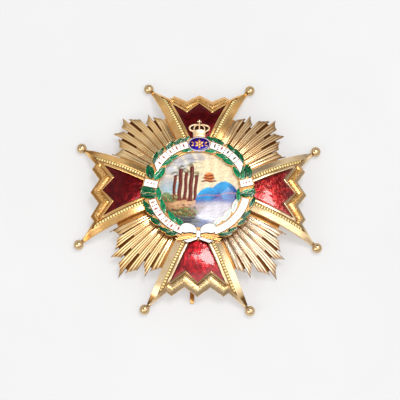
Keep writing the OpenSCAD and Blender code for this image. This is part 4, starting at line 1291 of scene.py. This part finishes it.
def add_crown_arches(s):
    """Arches set with beads, over a near-black sheet that paints the shade seen through their openings."""
    bead_z = STEM_Z + CROWN_T - 0.16
    for radius, lift, arch in ARCHES:
        stretches = len(arch) - 1
        count = stretches * 3
        for side in (1, -1) if arch[0][0] > 0 else (1,):
            points = []
            for i in range(count + 1):
                x, y = along(arch, stretches * i / count)
                swell = math.sin(math.pi * min(1.0, 0.15 + 0.8 * i / count))
                points.append((side * x, CROWN_Y + BROW + y, STEM_Z + 0.16 + lift * swell * 0.8))
            add_tube(s, points, [radius] * len(points), 0, 10, 0.85)
            for x, y, z in points[1:-1:2]:
                add_bead(s, x, y, min(z + 0.16, bead_z), 0.19, 10)
    # A near-black sheet under the arches: painted shade seen through their openings
    outline = [(-2.2, -0.1)] + SHADE_SHEET_OUTLINE + [(-x, y) for x, y in SHADE_SHEET_OUTLINE[:0:-1]]
    s.face([s.point(x, CROWN_Y + BROW + y, STEM_Z + 0.05, 1.0) for x, y in outline], 2, True)


def make_crown():
    s = Shape()
    add_crown_band(s)
    add_crown_arches(s)
    # orb and cross
    foot = CROWN_Y + CROWN_H
    z = STEM_Z + 0.45
    add_bead(s, 0, foot - 0.12, z, 0.3, 16)
    add_tube(s, [(0, foot + up, z) for up in (0, 0.3, 0.6, 0.9, CROSS_H - 0.02)],
             [0.22, 0.16, 0.2, 0.2, 0.3], 0)
    reach = CROSS_H / 2 + 0.1
    add_tube(s, [(x, foot + 0.62, z) for x in (-reach, -0.35, 0, 0.35, reach)],
             [0.3, 0.18, 0.2, 0.18, 0.3], 0)
    s.build("crown", [GOLD_PALE, GOLD_BACK, DARK_GOLD], 45)


# Medallion

def make_bezel():
    """Turned setting round the disc, with a ledge inside and a rounded, grooved top."""
    s = Shape()
    inner, outer = BEZEL_IN_R, BEZEL_IN_R + BEZEL_WALL
    ledge = inner - LEDGE_W
    shelf = DISC_EDGE_Z - DISC_T - 0.05
    profile = [(ledge, FAN_BOTTOM_Z), (ledge, shelf - 0.05), (ledge + 0.05, shelf), (inner, shelf),
               (inner, DOME_Z - 0.3), (inner + 0.06, DOME_Z - 0.12), (inner + 0.2, DOME_Z - 0.02),
               (inner + 0.32, DOME_Z), (inner + 0.45, DOME_Z - 0.06), (inner + 0.52, DOME_Z - 0.1),
               (inner + 0.6, DOME_Z - 0.03), (outer - 0.15, DOME_Z), (outer - 0.04, DOME_Z - 0.05),
               (outer, DOME_Z - 0.2), (outer, FAN_BOTTOM_Z), (ledge, FAN_BOTTOM_Z)]
    rows = []
    for r, z in profile:
        # Painted shade on the inner wall above the shelf, and a little on the rest
        painted_shade = 0.5 if r == inner and z > shelf + 0.1 else 0.1
        rows.append([(*polar(r, k * 2.5), z, painted_shade) for k in range(144)])
    s.grid(rows, 0, None, True)
    s.build("medallion_bezel", [GOLD], 40, normals=True)


# Painted disc: soft shapes laid over each other. The columns are the middle, the half sizes,
# the turn, the softness of the edge, the colour and the strength.
PICTURE = [
    (0, 4.5, 15, 9.5, 0, 0.6, (0.78, 0.66, 0.46), 1.0),
    (4.5, 9.5, 8.5, 5.5, -18, 0.9, (0.82, 0.68, 0.43), 0.8),
    (-6.5, 10.2, 7.5, 2.6, 24, 0.7, (0.50, 0.52, 0.58), 0.9),
    (-8.5, 6.4, 4.4, 2.3, 30, 0.6, (0.62, 0.65, 0.70), 0.85),
    (-1.5, 11.2, 5.2, 1.1, 6, 0.6, (0.40, 0.40, 0.47), 0.6),
    (-9.8, 0.8, 3.4, 2.6, 0, 0.7, (0.22, 0.46, 0.60), 0.75),
    (-10.6, 3.6, 2.0, 3.2, 10, 0.9, (0.50, 0.40, 0.40), 0.5),
    (9.8, -1.5, 4.8, 3.8, 0, 0.7, (0.68, 0.50, 0.38), 0.6),
    (2.5, -10.5, 10.5, 3.6, 0, 0.5, (0.46, 0.50, 0.66), 0.95),
    (6.5, -8.2, 6.6, 3.2, 8, 0.6, (0.72, 0.70, 0.80), 0.95),
    (-0.8, -12.2, 4.8, 1.8, 0, 0.6, (0.04, 0.09, 0.28), 0.9),
    (-7.2, -6.2, 9.2, 3.2, 4, 0.35, (0.42, 0.17, 0.06), 0.95),
    (-4.2, -5.3, 5.2, 1.1, 4, 0.4, (0.66, 0.38, 0.20), 0.85),
    (-5.6, -10.0, 6.4, 2.2, -16, 0.5, (0.035, 0.04, 0.02), 0.9),
    (-9.6, -3.4, 3.4, 1.4, 6, 0.45, (0.05, 0.13, 0.04), 0.95),
    (-10.8, -2.2, 1.6, 1.1, 0, 0.5, (0.10, 0.22, 0.08), 0.9),
    (-3.8, -8.2, 4.0, 1.7, 4, 0.5, (0.09, 0.12, 0.03), 0.95)]

# Thin clouds: the height and the colour
CLOUDS = [(9.6, (0.30, 0.27, 0.30)), (7.4, (0.42, 0.36, 0.36)), (11.3, (0.30, 0.24, 0.24)),
          (5.2, (0.50, 0.44, 0.44))]

# Trunks of the painted trees: the place, the foot, the top and half the width
TRUNKS = [(-8.4, -3.6, 5.2, 0.6), (-6.6, -4.2, 7.6, 0.78), (-4.7, -3.9, 6.2, 0.66),
          (-3.0, -4.4, 8.4, 0.8), (-1.3, -4.0, 5.2, 0.6)]

# Painted hills, and bushes: the middle and the half sizes, with the hill's brightness
HILLS = [(8.6, -3.4, 5.4, 6.4, 0.8), (3.6, -3.6, 4.6, 4.3, 1.0)]
BUSHES = [(-3.6, -8.3, 4.2, 1.8), (-9.7, -3.2, 3.3, 1.5), (-8.0, -7.6, 4.0, 1.6)]
SUN = (3.4, 4.4)


def ripple(x, y, seed, scale):
    """Smooth unevenness from a few sine waves."""
    rng = random.Random(seed)
    total = np.zeros_like(x)
    for _ in range(6):
        a = rng.uniform(0, math.pi)
        f = scale * rng.uniform(0.6, 1.8)
        total += np.sin((x * math.cos(a) + y * math.sin(a)) * f + rng.uniform(0, 6.28))
    return total / 6


def step_in(value, low, high):
    k = np.clip((value - low) / (high - low), 0, 1)
    return k * k * (3 - 2 * k)


def distance(x, y, cx, cy, rx=1.0, ry=1.0, turn=0):
    """Distance from a middle, as a share of two half sizes."""
    c, d = polar(1, turn)
    u = ((x - cx) * c + (y - cy) * d) / rx
    v = (-(x - cx) * d + (y - cy) * c) / ry
    return np.sqrt(u * u + v * v)


def picture_colors(x, y):
    """Colours of the painted view at points of the disc, as linear red, green and blue."""
    color = [np.full_like(x, v) for v in (0.90, 0.84, 0.74)]

    def lay(amount, tint):
        for c in range(3):
            color[c] += (tint[c] - color[c]) * amount

    wx = x + 0.35 * ripple(x, y, 3, 0.9)
    wy = y + 0.3 * ripple(x, y, 5, 1.1)
    for cx, cy, rx, ry, turn, soft, tint, strength in PICTURE:
        edge = 1 + soft / 2 - distance(wx, wy, cx, cy, rx, ry, turn)
        lay(strength * step_in(edge, 0, soft), tint)
    # faint rays in the sky, and thin lines of cloud
    away = np.arctan2(y + 2.0, x - 5.0)
    lay(step_in(np.sin(away * 26), 0.2, 0.9) * step_in(y, 0.5, 5) * 0.45, (0.9, 0.8, 0.56))
    for level, tint in CLOUDS:
        line = np.abs(y - level - 0.16 * x - 0.5 * np.sin(x * 0.9 + level))
        lay(step_in(0.3 - line, 0, 0.25) * step_in(-x, -3, 1) * 0.75, tint)
    # a stand of dark-red tree trunks of uneven height
    for tx, low, high, half in TRUNKS:
        lean = tx + 0.06 * (y - low) + 0.1 * np.sin(y * 0.9 + tx)
        spread = step_in(1.9 - np.sqrt((x - lean) ** 2 * 0.7 + (y - high) ** 2), 0, 1.3)
        lay(spread * step_in(ripple(x, y, 17 + tx, 3.6), -0.35, 0.1) * 0.85, (0.13, 0.12, 0.05))
        d = np.abs(x - lean) / (half * (1 + 0.35 * step_in(-y, -low - 0.9, -low)))
        trunk = step_in(1 - d, 0, 0.25) * step_in(y, low - 0.1, low + 0.1) * step_in(-y, -high, 0.3 - high)
        bark = step_in(np.sin((x - lean) * 6 / half + 0.6 * np.sin(y * 2.3)), 0.1, 0.8)
        lay(trunk, (0.09, 0.008, 0.008))
        lay(trunk * bark * 0.6, (0.34, 0.08, 0.06))
        lay(trunk * step_in(lean - x, 0.3 * half, half) * 0.5, (0.02, 0.0, 0.0))
    # two blue hills, deeper towards their sides, with red evening light and mist at their foot
    for cx, cy, rx, ry, bright in HILLS:
        u, v = (x - cx) / rx, (y - cy) / ry
        hill = step_in(1.03 - np.abs(u) ** 1.8 - np.maximum(v, 0) ** 1.6, 0, 0.07)
        hill *= step_in(y, cy - 3, cy - 1)
        uneven = 0.35 * ripple(x, y, 9 + cx, 1.1)
        tone = np.clip(0.25 + 0.75 * v + uneven - 0.35 * u - 0.3 * u * u, 0, 1)
        lay(hill, (0.006 + 0.03 * tone, 0.035 + 0.40 * tone * bright, 0.28 + 0.55 * tone * bright))
        line = np.abs(y + 2.6 - 0.12 * x - 0.25 * np.sin(x * 0.8))
        lay(hill * step_in(0.3 - line, 0, 0.25) * 0.6, (0.55, 0.16, 0.12))
    mist = step_in(-y, 3.0, 5.6) * step_in(1.3 - distance(x, y, 5.5, -6.4, 8, 3.4), 0, 0.8)
    lay(mist * 0.85, (0.5, 0.47, 0.54))
    # low sun between the trees and the hills, behind dark red clouds
    lay(step_in(1.9 - distance(x, y, *SUN), 0, 0.4) * 0.95, (0.72, 0.2, 0.03))
    for cy, length in ((2.9, 3.0), (3.9, 2.4), (4.9, 2.0)):
        band = step_in(0.42 - np.abs(y - cy - 0.15 * np.sin(x * 2 + cy)), 0, 0.22)
        lay(band * step_in(length - np.abs(x - SUN[0]), 0, 1) * 0.9, (0.16, 0.02, 0.01))
    # bushes and small flowers on the ground, and its shade
    speck = ripple(x, y, 21, 5.5)
    for bush in BUSHES:
        near = step_in(1.15 - distance(x, y, *bush), 0, 0.4)
        lay(near * step_in(speck, 0.05, 0.35) * 0.75, (0.36, 0.36, 0.13))
        lay(near * step_in(-speck, 0.2, 0.4) * 0.75, (0.42, 0.08, 0.03))
    shade = step_in(ripple(x, y, 29, 3.4), 0.05, 0.4) * step_in(-y, 4.6, 6.0) * step_in(-x, -1.5, 2.5)
    lay(shade * 0.7, (0.05, 0.03, 0.015))
    # lines on the water
    lines = step_in(np.sin(y * 5 + 0.8 * np.sin(x * 1.3)), 0.5, 0.95)
    lay(step_in(-y, 9, 10.5) * lines * 0.5, (0.16, 0.22, 0.42))
    # strokes of the brush
    stroke = 1 + 0.22 * ripple(x, y * 1.8, 31, 2.6) + 0.2 * ripple(x, y * 1.4, 33, 6.0)
    return np.stack([np.clip(c * stroke, 0, 1) for c in color] + [np.ones_like(x)], axis=-1)


def make_disc():
    s = Shape()
    cap_r = (DISC_R ** 2 + DISC_DOME ** 2) / (2 * DISC_DOME)
    rings, around = 96, 288
    rows = []
    for i in range(rings + 1):
        r = max(0.05, DISC_R * i / rings)
        z = DISC_EDGE_Z + DISC_DOME - cap_r + math.sqrt(cap_r ** 2 - r * r)
        rows.append([(*polar(r, 360 * k / around), z, 0.0) for k in range(around)])
    low = [(x, y, DISC_EDGE_Z - DISC_T, 0.0) for x, y, _, _ in rows[-1]]
    s.grid(rows, 0, True, True)
    s.grid([rows[-1], low], 1, None, True)
    s.cap(low, 1, False)
    s.cap(rows[0], 0, True)
    paint = Paint("enamel_picture", Roughness=0.35, Coat_Weight=0.3, Coat_Roughness=0.05,
                  Specular_IOR_Level=0.05)
    paint.set(Base_Color=paint.mix(paint.range(paint.noise(2.4, 4.0), 0.3, 0.7, 0, 0.1),
                                   paint.layer("picture", "Color"), (0.45, 0.36, 0.28)))
    paint.bump(paint.noise(0.8, 3.0), 0.2, 0.04)
    mesh = s.build("medallion_disc", [paint.material, GOLD_BACK], 50).data
    points = np.empty(len(mesh.vertices) * 3)
    mesh.vertices.foreach_get("co", points)
    x, y, _ = points.reshape(-1, 3).T / MM
    layer = mesh.color_attributes.new("picture", "FLOAT_COLOR", "POINT")
    layer.data.foreach_set("color", picture_colors(x, y).astype(np.float32).ravel())


# Build everything. The arms' columns are the turn, the enamel, the polished and the matted gold, some of them
# lighter or darker copies as painted highlight and shade, and the painted shade of the crest's bevel, the
# rims, the side bevels and the tips.
ARMS = {
    "arm_top": (0, RED_SHADED, GOLD, GOLD_GRAIN, 0.2, 0.0, 0.25, 0.3),
    "arm_right": (-90, RED, GOLD_LIT, GOLD_GRAIN, 0.5, 0.6, 0.12, 0.4),
    "arm_bottom": (180, RED_LIT, GOLD_LIT, GOLD_GRAIN_LIT, 0.68, 0.85, 0.0, 1.0),
    "arm_left": (90, RED_SHADED, GOLD, GOLD_GRAIN, 0.8, 0.45, 0.14, 0.9)}
for arm, finish in ARMS.items():
    make_arm(arm, *finish)
# The fans' columns are whether x and y are mirrored, how much painted shade the ridges' edges get, and the
# gold, a lighter or darker copy for some fans as painted highlight and shade.
FANS = {
    "ray_fan_top_right": (False, False, 1.0, GOLD_RAY_SHADED),
    "ray_fan_top_left": (True, False, 0.35, GOLD_RAY),
    "ray_fan_bottom_left": (True, True, 1.0, GOLD_RAY),
    "ray_fan_bottom_right": (False, True, 0.9, GOLD_RAY_LIT)}
for fan, finish in FANS.items():
    make_fan(fan, *finish)
make_bezel()
make_disc()
for laurel in LEAVES:
    make_laurel(laurel)
for band in BANDS:
    make_band(band)
for cross in CROSSES:
    make_cross(cross)
make_bow()
make_oval()
make_rosette()
make_crown()

# CAD nodes whose shape is right get their finish
for node, material in (("back_plate", GOLD_BACK), ("wreath_ground", EDGE_GOLD), ("brooch_pin", EDGE_GOLD)):
    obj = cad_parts[node]
    obj.data.materials.clear()
    obj.data.materials.append(material)

# Camera, at the photograph's angle, with its distance and target in millimetres
CAMERA_DISTANCE = 678.64
azimuth, elevation, roll = (math.radians(a) for a in (2.07, 68.836, 2.744))
forward = Vector((math.sin(azimuth) * math.cos(elevation), math.cos(azimuth) * math.cos(elevation),
                  -math.sin(elevation)))
right = Vector((math.cos(azimuth), -math.sin(azimuth), 0))
above = right.cross(forward)
turned_right = math.cos(roll) * right + math.sin(roll) * above
turned_up = -math.sin(roll) * right + math.cos(roll) * above
target = Vector((0.568, -0.752, 1.725)) * MM
camera_data = bpy.data.cameras.new("camera")
camera_data.sensor_width = 36
camera_data.lens = 180.37
camera_data.clip_start = 0.01
camera_data.clip_end = 20
camera = bpy.data.objects.new("camera", camera_data)
bpy.context.scene.collection.objects.link(camera)
axes = Matrix((turned_right, turned_up, -forward)).transposed().to_4x4()
camera.matrix_world = Matrix.Translation(target - forward * CAMERA_DISTANCE * MM) @ axes
bpy.context.scene.camera = camera

# Floor, in metres
FLOOR_HALF = 2.0
floor_paint = Paint("floor", Roughness=0.65, Specular_IOR_Level=0.2, Emission_Color=(1, 1, 1),
                    Emission_Strength=0.42)
mottle = floor_paint.range(floor_paint.noise(0.02, 3.0), 0.3, 0.7, 0, 1)
floor_paint.set(Base_Color=floor_paint.mix(mottle, (0.37, 0.37, 0.375), (0.35, 0.35, 0.355)))
floor_mesh = bpy.data.meshes.new("floor")
floor_mesh.from_pydata([(x * FLOOR_HALF, y * FLOOR_HALF, 0) for x, y in ((-1, -1), (1, -1), (1, 1), (-1, 1))],
                       [], [(0, 1, 2, 3)])
floor_mesh.materials.append(floor_paint.material)
floor = bpy.data.objects.new("floor", floor_mesh)
bpy.context.scene.collection.objects.link(floor)


def area_light(name, place, size, power, color, glossy=True):
    """A rectangular light turned to the star."""
    data = bpy.data.lights.new(name, "AREA")
    data.shape = "RECTANGLE"
    data.size, data.size_y = size
    data.energy = power
    data.color = color
    obj = bpy.data.objects.new(name, data)
    bpy.context.scene.collection.objects.link(obj)
    obj.location = place
    obj.rotation_euler = (-Vector(place)).to_track_quat("-Z", "Y").to_euler()
    obj.visible_glossy = glossy


area_light("softbox_core", (0.115, 0.120, 0.68), (0.19, 0.24), 2.1, (1, 0.99, 0.97))
area_light("softbox_front", (0.26, -0.39, 0.86), (1.5, 0.68), 4.1, (1, 0.98, 0.96))
area_light("softbox_low", (-0.50, -0.45, 0.42), (0.34, 0.34), 1.5, (1, 0.98, 0.95))
area_light("overhead", (-0.3, 0.5, 0.9), (0.9, 0.9), 0.2, (0.97, 0.98, 1), False)

# Studio: brightest low down, with a darker part that the level enamel mirrors
world = bpy.data.worlds.new("studio")
bpy.context.scene.world = world
world.use_nodes = True
studio = Nodes(world.node_tree)
direction = studio.node("TexCoord").outputs["Generated"]
height = studio.axes(direction)["Z"]
GLOW = ((0.0, 0.25), (0.45, 0.8), (0.95, 0.5))
DARK_SIDE = Vector((0.14, 0.53, 0.85)).normalized()
glow = studio.ramp(height, *((at, (gray, gray, gray)) for at, gray in GLOW))
facing = studio.node("VectorMath", operation="DOT_PRODUCT")
studio.fill(facing.inputs, direction, DARK_SIDE)
shade = studio.range(facing.outputs["Value"], 0.885, 0.965, 1.0, 0.13, "SMOOTHSTEP")
background = studio.nodes["Background"]
studio.put(background.inputs["Color"], studio.mix(1.0, glow, shade, "MULTIPLY"))
studio.put(background.inputs["Strength"], 1.0)

bpy.context.scene.view_settings.view_transform = "Standard"
